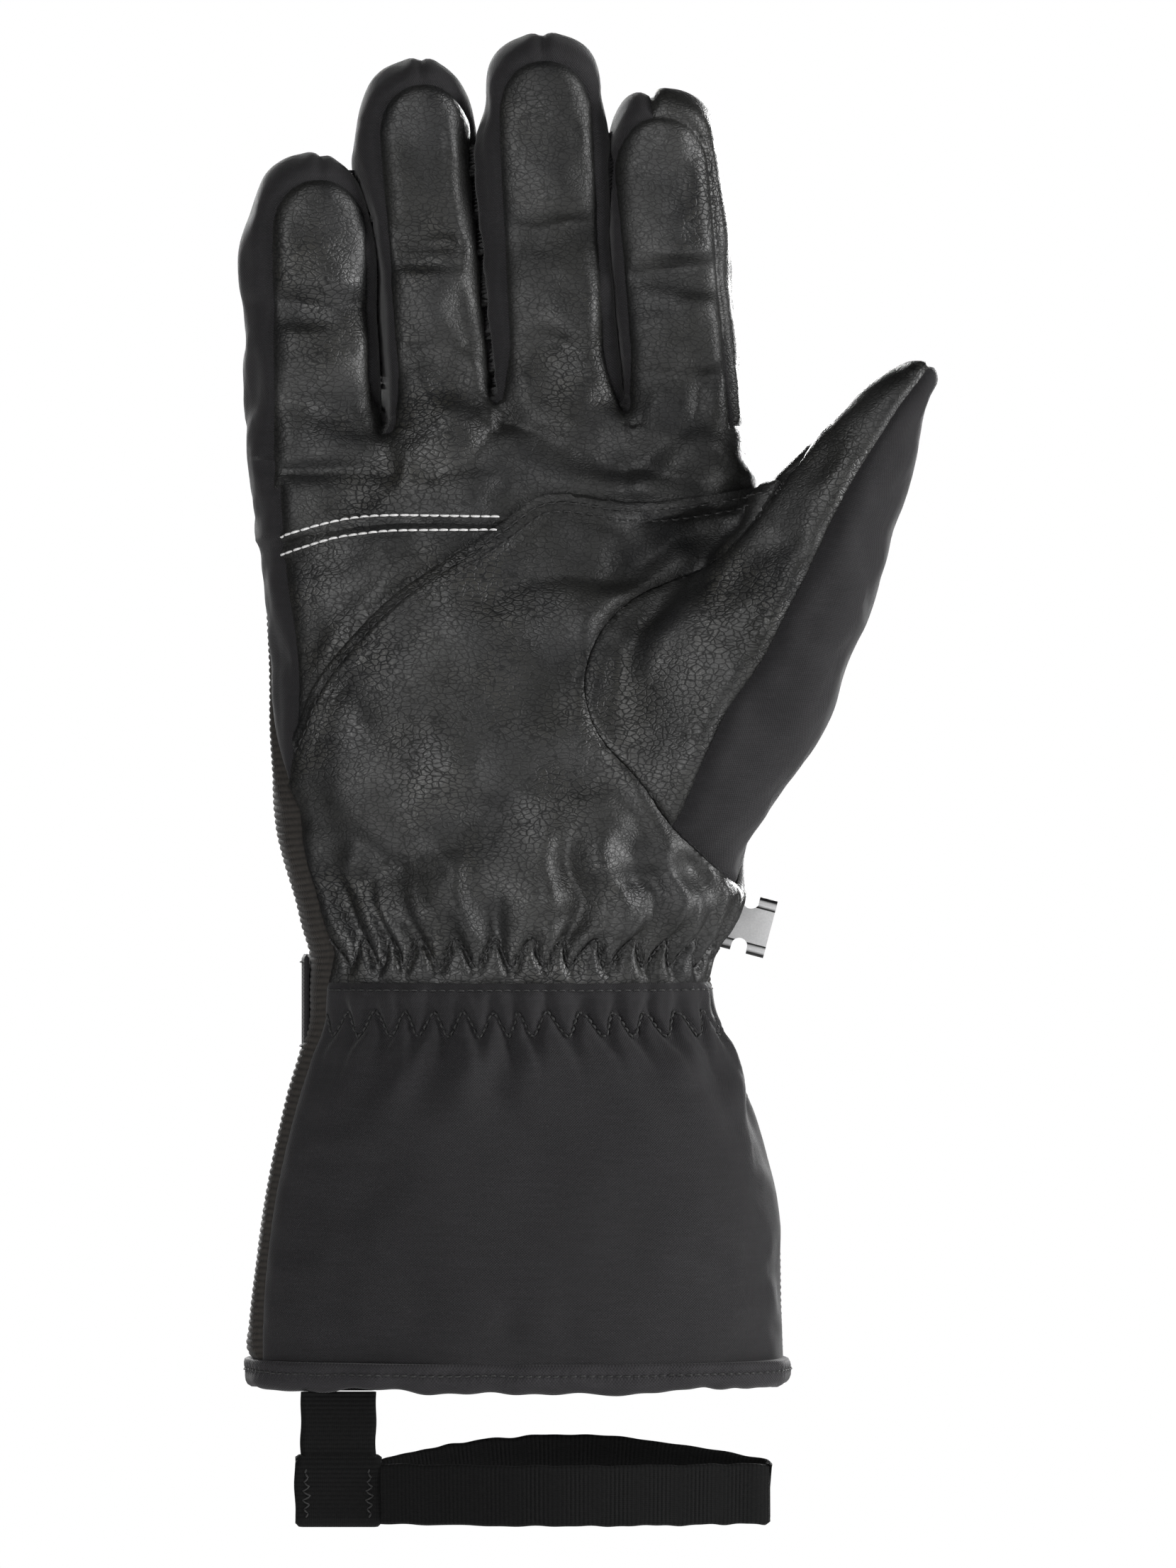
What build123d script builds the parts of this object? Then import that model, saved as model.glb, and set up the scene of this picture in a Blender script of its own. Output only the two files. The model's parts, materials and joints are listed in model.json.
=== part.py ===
"""Right-hand gauntlet ski glove, as an assembly of separately cut and sewn pieces.

Frame, in millimetres: +Z runs from the cuff to the fingertips, -Y is the palm side, +X is the thumb side.
The origin is the centre of the cuff opening, in the plane of the hem's lower edge.
"""

from build123d import *
import math
import os

# ---- layer thicknesses, from the outside in ----
SHELL = 1.3
GAP = 0.2
INSULATION = 3.2
MEMBRANE = 0.4
LINING = 1.2
FINGER_LINER = 3.6
CUFF_LINING = 1.5
ELASTIC_THICKNESS = 0.8

# ---- overall heights ----
HEM_HEIGHT = 6.5
HEM_PROUD = 0.5  # the binding stands out this far from the cuff fabric
HEM_DEPTH = 4.6  # and reaches this far in, past the end of the lining
WRIST_Z = 124.0  # wrist flex axis
LEATHER_SEAM_Z = 99.5  # where the leather gather meets the cuff fabric
UPPER_ELASTIC_Z = 105.0
LOWER_ELASTIC_Z = 88.5
ELASTIC_HEIGHT = 5.0
HAND_TOP_Z = 232.0

# ---- room for motion: half the opening angle of each fold notch, in degrees ----
KNUCKLE_NOTCH = 31.0
MIDDLE_NOTCH = 34.0
WRIST_NOTCH = 13.0
THUMB_NOTCH = 24.0
FOLD_GAP = 0.1
FOLD_OFFSET = 3.0  # the fold axes lie this far to the palm side of a finger's centre
FAR = 300.0  # larger than the object
FIT = 0.1  # clearance around sewn-in tape
STUB_LENGTHS = (-26.0, 0.0, 12.0)  # sections of a finger's root, from its knuckle fold
OVERRUN = 12.0  # a finger half runs this far past its folds before its notches are cut
CAP_STEPS = 4  # sections in each rounded tip
TIP_CAP = 14.0  # length of a finger's rounded tip

# Sections of the cuff and the hand: height, left edge, right edge, palm-side depth, back-side depth.
CUFF_SECTIONS = [
    (0.0, -64.8, 64.8, 29.0, 29.0),
    (25.0, -64.4, 64.5, 28.5, 28.5),
    (50.0, -61.0, 61.5, 27.5, 27.5),
    (72.0, -55.0, 55.0, 25.5, 25.5),
    (88.0, -50.8, 49.0, 24.0, 24.0),
    (104.0, -50.6, 48.5, 23.5, 23.5),
    (120.0, -54.0, 52.0, 25.0, 24.5),
    (137.0, -57.2, 55.0, 26.0, 24.0),
]
HAND_SECTIONS = [
    *CUFF_SECTIONS[-3:],
    (156.0, -59.0, 57.5, 25.5, 23.0),
    (176.0, -60.0, 59.0, 23.5, 21.0),
    (196.0, -61.5, 59.5, 20.0, 18.5),
    (215.0, -63.0, 58.5, 17.0, 16.0),
    (HAND_TOP_Z, -64.5, 56.0, 13.5, 13.5),
]

# Fingers: root centre (x, z), upper centre (x, z), half-widths at those two, then the heights of
# the tip, of the knuckle fold and of the middle fold.
FINGERS = {
    "little": (-48.6, 236.0, -51.6, 275.0, 15.6, 14.3, 298.0, 239.5, 260.0),
    "ring": (-17.5, 238.0, -25.2, 300.0, 12.0, 14.1, 321.0, 249.0, 276.0),
    "middle": (10.8, 240.0, 5.7, 300.0, 13.7, 14.2, 326.5, 249.5, 278.0),
    "index": (40.6, 240.0, 35.4, 295.0, 13.7, 14.2, 313.0, 246.0, 267.5),
}
FINGER_DEPTH = 12.5
BASE_LEAN = 3.0  # degrees that each finger leans to the palm side
TIP_LEAN = 9.0

# ---- thumb: its fold axis, its direction, and its sections (distance along it, half-width, half-depth) ----
THUMB_FOLD = (80.7, -17.0, 217.0)
THUMB_TILT = 32.0
THUMB_LEAN = 5.0
THUMB_LENGTH = 34.5
THUMB_SECTIONS = [
    (-82.0, 25.0, 17.0),
    (-48.0, 23.0, 16.5),
    (-20.0, 19.0, 14.8),
    (0.0, 14.5, 13.0),
    (16.0, 11.5, 11.0),
]

# ---- seams of the palm, as x, z ----
OVERLAY_SEAM = [(70, 218), (27, 214.5), (10, 217), (-11.5, 199.5), (-44, 174.5), (-54, 158), (-70, 145)]
CROSS_SEAM = [(-70, 203), (-40, 209), (-22, 210), (3, 209.5)]
SIDE_SEAM_Y = 5.0  # half-width of the gussets down each side

# ---- wrist strap, on the back of the cuff ----
STRAP_LOW, STRAP_HIGH = 80.5, 103.0
STRAP_THICKNESS = 2.0
STRAP_END_X = 24.0
STRAP_FOLD_X = -43.0
PATCH_THICKNESS = 1.0

# ---- clip: outline, bar and side notches ----
CLIP_CENTRE = (55.8, 21.5, 111.7)  # middle of its waist
CLIP_DROP = 14.8  # degrees that its nose points below the horizontal
CLIP_NOSE = 6.4
CLIP_BAR = -8.6
CLIP_HALF_WIDTH = 7.2
CLIP_WAIST = 3.75
CLIP_PLATE = 2.0
RAIL_RADIUS = 1.6
NOTCH_RADIUS = 2.0
BAR_RADIUS = 1.1
SLOT_HALF_WIDTH = 5.0
SLOT_LENGTH = 3.6
LOOP_WIDTH = 9.0
LOOP_WEB = 0.9
LOOP_PLAY = 0.25
LOOP_TAIL = 3.2

# ---- leash, below the hem ----
LEASH_X = -43.0
LEASH_Y = -20.0
LEASH_FOLD_Z = -1.4
STEM_WIDTH = 18.2
STEM_THICKNESS = 1.6
STEM_BOTTOM = -17.8
WRAP_BOTTOM = -34.4
WRAP_WIDTH = 20.6
WEB_THICKNESS = 1.5
WEB_HEIGHT = 13.2
WEB_BOTTOM = -33.8
WEB_RIGHT = 61.2
WEB_BULGE = 17.5
LOOP_PIVOT = 1.9  # from the wrap to the axis that the loop swings about
SEWN_TAB_TOP = 14.0


def frame_plane(origin, tilt, lean):
    """A local frame whose Z leans tilt degrees to +X and lean degrees to -Y, with Y to the back."""
    t, n = math.radians(tilt), math.radians(lean)
    across = Vector(math.cos(t), 0, -math.sin(t))
    along = Vector(math.sin(t) * math.cos(n), -math.sin(n), math.cos(t) * math.cos(n))
    return Plane(origin=origin, x_dir=across, z_dir=along)


def tube(sections, inset):
    """A closed solid through rounded sections, pulled in by inset all round."""
    faces = []
    for z, left, right, front, back in sections:
        half_x, half_y = (right - left) / 2 - inset, (front + back) / 2 - inset
        centre = Location(((left + right) / 2, (back - front) / 2, z))
        faces.append(centre * RectangleRounded(2 * half_x, 2 * half_y, half_y - 0.6))
    return loft(faces)


def capsule(sections, length, inset):
    """A closed solid through ellipses up the local Z axis, ending in a rounded tip at length."""
    end, half_x, half_y = sections[-1]
    faces = [Location((0, 0, s)) * Ellipse(a - inset, b - inset) for s, a, b in sections]
    cap = length - inset - end
    for k in range(1, CAP_STEPS + 1):
        angle = math.radians(84.0) * k / CAP_STEPS
        centre = Location((0, 0, end + cap * math.sin(angle)))
        faces.append(centre * Ellipse((half_x - inset) * math.cos(angle), (half_y - inset) * math.cos(angle)))
    return loft(faces, ruled=True)


def prism(points, plane, half_length):
    """A polygon in a plane, extruded both ways."""
    return extrude(plane * make_face(Polyline(*points, close=True)), amount=half_length, both=True)


def side_of_fold(plane, notch, above):
    """The half-space above or below a fold along the plane's X, with a notch that opens to the palm side."""
    sign = 1 if above else -1
    rise = FAR * math.tan(math.radians(notch))
    points = [
        (-FAR, sign * rise),
        (0, sign * FOLD_GAP),
        (FAR, sign * FOLD_GAP),
        (FAR, sign * FAR),
        (-FAR, sign * FAR),
    ]
    fold = Plane(origin=plane.origin, x_dir=plane.y_dir, z_dir=plane.x_dir)
    return prism(points, fold, FAR)


def side_of_wrist(above):
    """The half-space above or below the wrist fold, with a notch on the palm side and one on the back."""
    sign = 1 if above else -1
    rise = FAR * math.tan(math.radians(WRIST_NOTCH))
    points = [
        (-FAR, sign * rise),
        (0, sign * FOLD_GAP),
        (FAR, sign * rise),
        (FAR, sign * 2 * FAR),
        (-FAR, sign * 2 * FAR),
    ]
    return prism(points, Plane(origin=(0, 0, WRIST_Z), x_dir=(0, 1, 0), z_dir=(1, 0, 0)), FAR)


def slab(x=(-FAR, FAR), y=(-FAR, FAR), z=(-FAR, 2 * FAR)):
    """An axis-aligned block between the given limits."""
    size = (x[1] - x[0], y[1] - y[0], z[1] - z[0])
    return Location(((x[0] + x[1]) / 2, (y[0] + y[1]) / 2, (z[0] + z[1]) / 2)) * Box(*size)


def finger_frame(name, z, lean):
    """The frame of a finger's fold at height z. Its origin lies on the fold axis."""
    x0, z0, x1, z1 = FINGERS[name][:4]
    share = (z - z0) / (z1 - z0)
    tilt = math.degrees(math.atan2(x1 - x0, z1 - z0))
    knuckle = FINGERS[name][7]
    drop = (z - knuckle) * math.tan(math.radians(BASE_LEAN))
    return frame_plane((x0 + share * (x1 - x0), -FOLD_OFFSET - drop, z), tilt, lean)


def finger_width(name, z):
    """A finger's half-width at height z."""
    x0, z0, x1, z1, root, upper = FINGERS[name][:6]
    share = min(1.0, max(-0.3, (z - z0) / (z1 - z0)))
    return root + share * (upper - root)


def finger_stub(name, inset):
    """A finger's root, which belongs to the hand and runs past the knuckle fold."""
    knuckle = FINGERS[name][7]
    frame = finger_frame(name, knuckle, BASE_LEAN)
    sections = [
        Location((0, FOLD_OFFSET, s)) * Ellipse(finger_width(name, knuckle + s) - inset, FINGER_DEPTH - inset)
        for s in STUB_LENGTHS
    ]
    return frame.location * loft(sections)


def finger_base(name, inset):
    """A finger's lower half, running past both of its folds."""
    knuckle, middle = FINGERS[name][7:9]
    frame = finger_frame(name, knuckle, BASE_LEAN)
    reach = middle - knuckle
    sections = [
        Location((0, FOLD_OFFSET, s)) * Ellipse(finger_width(name, knuckle + s) - inset, FINGER_DEPTH - inset)
        for s in (-OVERRUN, 0.0, reach + OVERRUN)
    ]
    return frame.location * loft(sections)


def finger_tip(name, inset):
    """A finger's upper half, running past the middle fold, with its closed tip."""
    tip_z, _, middle = FINGERS[name][6:9]
    frame = finger_frame(name, middle, TIP_LEAN)
    length = (tip_z - middle) / math.cos(math.radians(TIP_LEAN))
    cap = length - TIP_CAP
    widths = [(s, finger_width(name, middle + s), FINGER_DEPTH) for s in (-OVERRUN, 0.0, cap)]
    return frame.location * (Location((0, FOLD_OFFSET, 0)) * capsule(widths, length, inset))


def thumb_body(inset):
    """The whole thumb, from inside the palm to its closed tip."""
    frame = frame_plane(THUMB_FOLD, THUMB_TILT, THUMB_LEAN)
    return frame.location * capsule(THUMB_SECTIONS, THUMB_LENGTH, inset)


def hand_body(inset):
    """The palm and back of the hand with the four finger roots."""
    body = tube(HAND_SECTIONS, inset) & slab(z=(-FAR, HAND_TOP_Z - max(inset, 0)))
    for name in FINGERS:
        body += finger_stub(name, inset)
    return body


def above_curve(points):
    """The block above a seam drawn in x and z, right through the glove."""
    outline = [*points, (points[-1][0], FAR * 2), (points[0][0], FAR * 2)]
    return prism(outline, Plane(origin=(0, 0, 0), x_dir=(1, 0, 0), z_dir=(0, -1, 0)), FAR)


def save(shape, name):
    """Writes one piece, keeping only its solids."""
    solids = [s for s in shape.solids() if s.volume > 0.5]
    piece = solids[0] if len(solids) == 1 else Compound(children=solids)
    export_step(piece, f"parts/{name}.step")


def make_fingers():
    """Shell halves and liners of the four fingers, each in a lower and an upper part."""
    for name in FINGERS:
        knuckle, middle = FINGERS[name][7:9]
        knuckle_frame = finger_frame(name, knuckle, BASE_LEAN)
        middle_low = finger_frame(name, middle, BASE_LEAN)
        middle_high = finger_frame(name, middle, TIP_LEAN)
        base_room = side_of_fold(knuckle_frame, KNUCKLE_NOTCH, True)
        base_room &= side_of_fold(middle_low, MIDDLE_NOTCH, False)
        tip_room = side_of_fold(middle_high, MIDDLE_NOTCH, True)
        for part, maker, room, frame in (
            ("base", finger_base, base_room, knuckle_frame),
            ("tip", finger_tip, tip_room, middle_high),
        ):
            shell = (maker(name, 0) - maker(name, SHELL)) & room
            liner = (maker(name, SHELL + GAP) - maker(name, SHELL + GAP + FINGER_LINER)) & room
            seam = Plane(origin=frame.origin, x_dir=frame.x_dir, z_dir=frame.y_dir)
            front = seam.location * (Location((0, 0, -FAR / 2)) * Box(FAR, FAR, FAR))
            save(shell & front, f"{name}_{part}_leather")
            save(shell - front, f"{name}_{part}_fabric")
            save(liner, f"{name}_{part}_liner")


def make_thumb():
    """Thumb shell halves and liner, on each side of the thumb's fold."""
    frame = frame_plane(THUMB_FOLD, THUMB_TILT, THUMB_LEAN)
    # The thumb folds towards the index finger, so its notch opens across the hand.
    fold = Plane(origin=frame.origin, x_dir=-frame.y_dir, z_dir=frame.z_dir)
    tip_room = side_of_fold(fold, THUMB_NOTCH, True)
    base_room = side_of_fold(fold, THUMB_NOTCH, False)
    inner_side = frame.location * (Location((-FAR / 2, 0, 0)) * Box(FAR, FAR, FAR))
    shell = thumb_body(0) - thumb_body(SHELL)
    liner = thumb_body(SHELL + GAP) - thumb_body(SHELL + GAP + FINGER_LINER)
    outside_hand = hand_body(-0.05)
    save((shell & tip_room) & inner_side, "thumb_tip_leather")
    save((shell & tip_room) - inner_side, "thumb_tip_fabric")
    save(liner & tip_room, "thumb_tip_liner")
    base_shell = (shell & base_room) - outside_hand
    save(base_shell & inner_side, "thumb_base_leather")
    save(base_shell - inner_side, "thumb_base_fabric")
    save((liner & base_room) - outside_hand, "thumb_base_liner")


def make_hand():
    """Palm and back panels, side gussets and the three inner layers of the hand."""
    room = side_of_wrist(True)
    for name in FINGERS:
        knuckle = FINGERS[name][7]
        frame = finger_frame(name, knuckle, BASE_LEAN)
        zone_width = 2 * finger_width(name, knuckle) + 2.2
        finger_zone = frame.location * (Location((0, 0, 30)) * Box(zone_width, 80, 96))
        room -= finger_zone - side_of_fold(frame, KNUCKLE_NOTCH, False)
    thumb_hole = thumb_body(SHELL + GAP + FINGER_LINER)
    depths = [0.0, SHELL]
    for thickness in (INSULATION, MEMBRANE, LINING):
        depths += [depths[-1] + GAP, depths[-1] + GAP + thickness]
    layers = []
    for outer, inner in zip(depths[0::2], depths[1::2]):
        layers.append(((hand_body(outer) - hand_body(inner)) & room) - thumb_hole)
    shell = layers[0]
    palm = shell & slab(y=(-FAR, -SIDE_SEAM_Y))
    above_overlay = above_curve(OVERLAY_SEAM)
    above_cross = above_curve(CROSS_SEAM + [(70, 209.5)])
    save(palm - above_overlay, "palm_heel")
    save((palm & above_overlay) - above_cross, "palm_side")
    save((palm & above_overlay) & above_cross, "palm_upper")
    save(shell & slab(y=(SIDE_SEAM_Y, FAR)), "back_panel")
    sides = shell & slab(y=(-SIDE_SEAM_Y, SIDE_SEAM_Y))
    save(sides & slab(x=(-FAR, -45)), "little_side_gusset")
    save(sides & slab(x=(40, FAR)), "index_side_gusset")
    save(sides & slab(x=(-45, 40)), "finger_gussets")
    for layer, name in zip(layers[1:], ("hand_insulation", "hand_membrane", "hand_lining")):
        save(layer, name)


def make_cuff():
    """Gauntlet panels, hem, lining and the two wrist elastics."""
    room = side_of_wrist(False)
    above_hem = slab(z=(HEM_HEIGHT, FAR))
    shell = (tube(CUFF_SECTIONS, 0) - tube(CUFF_SECTIONS, SHELL)) & room
    body = shell & above_hem
    front = body & slab(y=(-FAR, 0))
    save(front & slab(z=(0, LEATHER_SEAM_Z)), "cuff_front_panel")
    save(front & slab(z=(LEATHER_SEAM_Z, FAR)), "wrist_gather")
    save(body & slab(y=(0, FAR)), "cuff_back_panel")
    hem = tube(CUFF_SECTIONS, -HEM_PROUD) - tube(CUFF_SECTIONS, HEM_DEPTH)
    tab_slot = leash_tab(FIT / 2)
    save((hem & slab(z=(0.05, HEM_HEIGHT - 0.05))) - tab_slot, "hem_binding")
    lining_depth = SHELL + 3 * GAP + ELASTIC_THICKNESS
    lining = tube(CUFF_SECTIONS, lining_depth) - tube(CUFF_SECTIONS, lining_depth + CUFF_LINING)
    save((lining & room & above_hem) - tab_slot, "cuff_lining")
    channel = tube(CUFF_SECTIONS, SHELL + GAP) - tube(CUFF_SECTIONS, SHELL + GAP + ELASTIC_THICKNESS)
    for z, name in ((UPPER_ELASTIC_Z, "wrist_elastic_upper"), (LOWER_ELASTIC_Z, "wrist_elastic_lower")):
        band = channel & room & slab(y=(-FAR, -1), z=(z - ELASTIC_HEIGHT / 2, z + ELASTIC_HEIGHT / 2))
        save(band, name)


def cuff_band(inner, thickness, x, z):
    """A piece lying on the back of the cuff, between two distances from its surface."""
    ring = tube(CUFF_SECTIONS, -inner - thickness) - tube(CUFF_SECTIONS, -inner)
    return ring & slab(x=x, y=(6.0, FAR), z=z)


def make_strap():
    """Hook-and-loop wrist strap: a sewn root, the free strap, its hook patch and the loop patch under it."""
    patch_z = (STRAP_LOW + 1.5, STRAP_HIGH - 1.5)
    strap_lift = 2 * PATCH_THICKNESS + 0.3
    save(cuff_band(0.1, PATCH_THICKNESS, (-30, 36), patch_z), "strap_loop_patch")
    hook_x = (-6, STRAP_END_X - 2)
    save(cuff_band(PATCH_THICKNESS + 0.2, PATCH_THICKNESS, hook_x, patch_z), "strap_hook_patch")
    strap_z = (STRAP_LOW, STRAP_HIGH)
    root_x, free_x = (-FAR, STRAP_FOLD_X - FOLD_GAP), (STRAP_FOLD_X + FOLD_GAP, STRAP_END_X)
    save(cuff_band(strap_lift, STRAP_THICKNESS, root_x, strap_z), "strap_root")
    save(cuff_band(strap_lift, STRAP_THICKNESS, free_x, strap_z), "wrist_strap")


def make_clip():
    """Moulded clip with side notches, and the webbing loop that holds its bar."""
    along = Vector(math.cos(math.radians(CLIP_DROP)), 0, -math.sin(math.radians(CLIP_DROP)))
    plane = Plane(origin=CLIP_CENTRE, x_dir=along, z_dir=(0, -1, 0))
    length = CLIP_NOSE - CLIP_BAR + BAR_RADIUS
    middle = (CLIP_NOSE + CLIP_BAR - BAR_RADIUS) / 2
    rail_offset = CLIP_HALF_WIDTH - RAIL_RADIUS
    body = Location((middle, 0, 0)) * Box(length, 2 * rail_offset, CLIP_PLATE)
    for side in (-1, 1):
        body += Location((middle, side * rail_offset, 0), (0, 90, 0)) * Cylinder(RAIL_RADIUS, length)
    for side in (-1, 1):
        notch = side * (CLIP_WAIST + NOTCH_RADIUS)
        body -= Location((0, notch, 0)) * Cylinder(NOTCH_RADIUS, 10)
        body -= Location((0, notch + side * 5, 0)) * Box(2 * NOTCH_RADIUS, 10, 10)
    slot_start, slot_end = CLIP_BAR - 3, CLIP_BAR + BAR_RADIUS + SLOT_LENGTH
    slot = Box(slot_end - slot_start, 2 * SLOT_HALF_WIDTH, 10)
    body -= Location(((slot_start + slot_end) / 2, 0, 0)) * slot
    bar = Cylinder(BAR_RADIUS, 2 * SLOT_HALF_WIDTH + 1)
    body += Location((CLIP_BAR, 0, 0), (90, 0, 0)) * bar
    save(plane.location * body, "clip")

    inner = BAR_RADIUS + LOOP_PLAY
    outer = inner + LOOP_WEB
    tail = Location((-LOOP_TAIL / 2, 0, 0))
    wrap = Cylinder(outer, LOOP_WIDTH) + tail * Box(LOOP_TAIL, 2 * outer, LOOP_WIDTH)
    wrap -= Cylinder(inner, LOOP_WIDTH) + tail * Box(LOOP_TAIL, 2 * inner, LOOP_WIDTH)
    save(plane.location * (Location((CLIP_BAR, 0, 0), (90, 0, 0)) * wrap), "clip_loop")


def leash_tab(clearance):
    """The end of the leash that is sewn between the hem binding and the lining."""
    half_x, half_y = STEM_WIDTH / 2 + clearance, STEM_THICKNESS / 2 + clearance
    bottom = LEASH_FOLD_Z + STEM_THICKNESS / 2 + 0.2
    return slab(
        (LEASH_X - half_x, LEASH_X + half_x),
        (LEASH_Y - half_y, LEASH_Y + half_y),
        (bottom - clearance, SEWN_TAB_TOP + clearance),
    )


def make_leash():
    """Leash: a tab sewn into the hem, a stem, the stitched wrap, and the wrist loop."""
    half = STEM_THICKNESS / 2
    save(leash_tab(0), "leash_tab")
    stem = slab(
        (LEASH_X - STEM_WIDTH / 2, LEASH_X + STEM_WIDTH / 2),
        (LEASH_Y - half, LEASH_Y + half),
        (STEM_BOTTOM, LEASH_FOLD_Z),
    )
    stem += Location((LEASH_X, LEASH_Y, LEASH_FOLD_Z), (0, 90, 0)) * Cylinder(half, STEM_WIDTH)
    save(stem, "leash_stem")
    left, right = LEASH_X - WRAP_WIDTH / 2, LEASH_X + WRAP_WIDTH / 2
    pocket = WEB_THICKNESS + FIT
    wrap_half = pocket + STEM_THICKNESS
    wrap = slab((left, right), (LEASH_Y - wrap_half, LEASH_Y + wrap_half), (WRAP_BOTTOM, STEM_BOTTOM - 0.05))
    web_z = (WEB_BOTTOM, WEB_BOTTOM + WEB_HEIGHT)
    pocket_z = (web_z[0] - FIT, web_z[1] + FIT)
    wrap -= slab((left - 1, right + 1), (LEASH_Y - pocket, LEASH_Y + pocket), pocket_z)
    save(wrap, "leash_wrap")
    ends = slab((left + 0.2, right), (LEASH_Y - WEB_THICKNESS, LEASH_Y + WEB_THICKNESS), web_z)
    save(ends, "leash_loop_ends")
    save(leash_loop(right + LOOP_PIVOT + WEB_THICKNESS / 2 - 0.2, WEB_RIGHT), "leash_loop")


def leash_loop(left, right):
    """A lens-shaped ring of webbing, standing on edge, with its narrow start by the wrap."""

    def lens(grow):
        corners = []
        for side in (-1, 1):
            start = (left - grow, LEASH_Y + side * (WEB_THICKNESS + grow))
            crown = ((left + right) / 2, LEASH_Y + side * (WEB_BULGE + grow))
            end = (right - 1, LEASH_Y + side * (WEB_THICKNESS + grow))
            corners.append((start, crown, end))
        near, far = corners
        return make_face([
            ThreePointArc(*near),
            ThreePointArc(near[-1], (right + grow, LEASH_Y), far[-1]),
            ThreePointArc(*reversed(far)),
            Line(far[0], near[0]),
        ])

    ring = lens(0) - lens(-WEB_THICKNESS * 0.6)
    return Location((0, 0, WEB_BOTTOM)) * extrude(ring, amount=WEB_HEIGHT)


def main():
    os.makedirs("parts", exist_ok=True)
    make_leash()
    make_clip()
    make_strap()
    make_cuff()
    make_fingers()
    make_thumb()
    make_hand()


main()
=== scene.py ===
import json
import math

import bpy
import numpy as np
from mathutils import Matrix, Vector
from mathutils.bvhtree import BVHTree
from mathutils.kdtree import KDTree


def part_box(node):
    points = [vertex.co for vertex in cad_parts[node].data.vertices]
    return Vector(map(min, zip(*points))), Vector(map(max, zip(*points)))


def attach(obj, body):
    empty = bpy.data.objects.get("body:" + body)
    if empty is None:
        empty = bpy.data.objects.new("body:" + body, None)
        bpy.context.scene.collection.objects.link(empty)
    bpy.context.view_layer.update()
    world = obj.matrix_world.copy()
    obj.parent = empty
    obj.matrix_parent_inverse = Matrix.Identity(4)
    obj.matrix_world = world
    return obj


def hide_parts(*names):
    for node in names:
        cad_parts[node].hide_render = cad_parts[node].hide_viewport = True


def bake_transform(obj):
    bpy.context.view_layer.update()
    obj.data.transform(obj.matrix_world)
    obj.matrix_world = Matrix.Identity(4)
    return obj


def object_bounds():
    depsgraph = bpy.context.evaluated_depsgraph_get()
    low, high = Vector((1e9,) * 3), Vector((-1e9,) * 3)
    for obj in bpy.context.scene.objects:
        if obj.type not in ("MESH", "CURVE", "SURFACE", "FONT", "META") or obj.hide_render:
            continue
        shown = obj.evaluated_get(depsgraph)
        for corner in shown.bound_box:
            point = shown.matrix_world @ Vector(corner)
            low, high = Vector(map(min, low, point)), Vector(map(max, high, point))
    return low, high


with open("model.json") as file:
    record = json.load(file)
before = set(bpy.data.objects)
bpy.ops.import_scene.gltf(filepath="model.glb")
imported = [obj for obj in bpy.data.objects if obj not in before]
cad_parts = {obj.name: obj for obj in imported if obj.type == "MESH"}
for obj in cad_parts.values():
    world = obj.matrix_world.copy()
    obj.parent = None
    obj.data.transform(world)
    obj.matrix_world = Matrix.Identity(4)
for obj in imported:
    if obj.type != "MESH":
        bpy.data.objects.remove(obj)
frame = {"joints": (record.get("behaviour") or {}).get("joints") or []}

CAD_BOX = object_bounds()
JOINTS = {j["name"]: j for j in frame["joints"]}
MM = 1000.0
GRID = 0.95

# ---------------------------------------------------------------- frame values, in millimetres


def joint_pos(name):
    return np.array(JOINTS[name]["pos_m"]) * MM


def node_box(name):
    low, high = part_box(name)
    return np.array(low) * MM, np.array(high) * MM


FINGERS = ("little", "ring", "middle", "index")
# Half-width, shift of the root, x of the tip, half-length of the knuckle and middle folds, and the leather
# front's left and right edges as shares of the half-width.
FINGER_STYLE = {
    "little": (16.9, -0.9, -49.9, 9.5, 9.5, -0.56, 0.84),
    "ring": (16.2, -1.0, -25.0, 10.0, 13.0, -0.60, 0.80),
    "middle": (15.5, -0.8, 5.4, 10.0, 13.0, -0.72, 0.80),
    "index": (14.8, -0.8, 33.6, 9.5, 11.0, -0.80, 0.80),
}
# Reach of each finger to its left and right, half-width at the fingertip, where the narrowing starts and ends
# from the start of the fingertip, how square the fingertip is and how much the root narrows.
FINGER_WIDTHS = {
    "little": (17.2, 16.5, 13.9, -12.0, 6.0, 2.2, 0.20),
    "ring": (17.6, 16.6, 12.8, -12.0, 8.0, 2.2, 0.20),
    "middle": (18.4, 17.4, 13.9, -16.0, 0.0, 2.5, 0.20),
    "index": (17.6, 15.2, 13.6, -12.0, 3.0, 2.3, 0.06),
}
FINGER_DEPTH = 13.2
# How square a finger's section is along its length and at its tip (2 is an ellipse).
FINGER_SQUARE, TIP_SQUARE = 2.2, 2.3
WRIST_START, WRIST_END = 100.0, 126.0
HEM_TOP = node_box("hem_binding")[1][2]
SEAM_Z = node_box("cuff_front_panel")[1][2] - 1.5
KNUCKLE_SEAM_Z = 222.0
BACK_SPLIT_Z = WRIST_START

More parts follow.
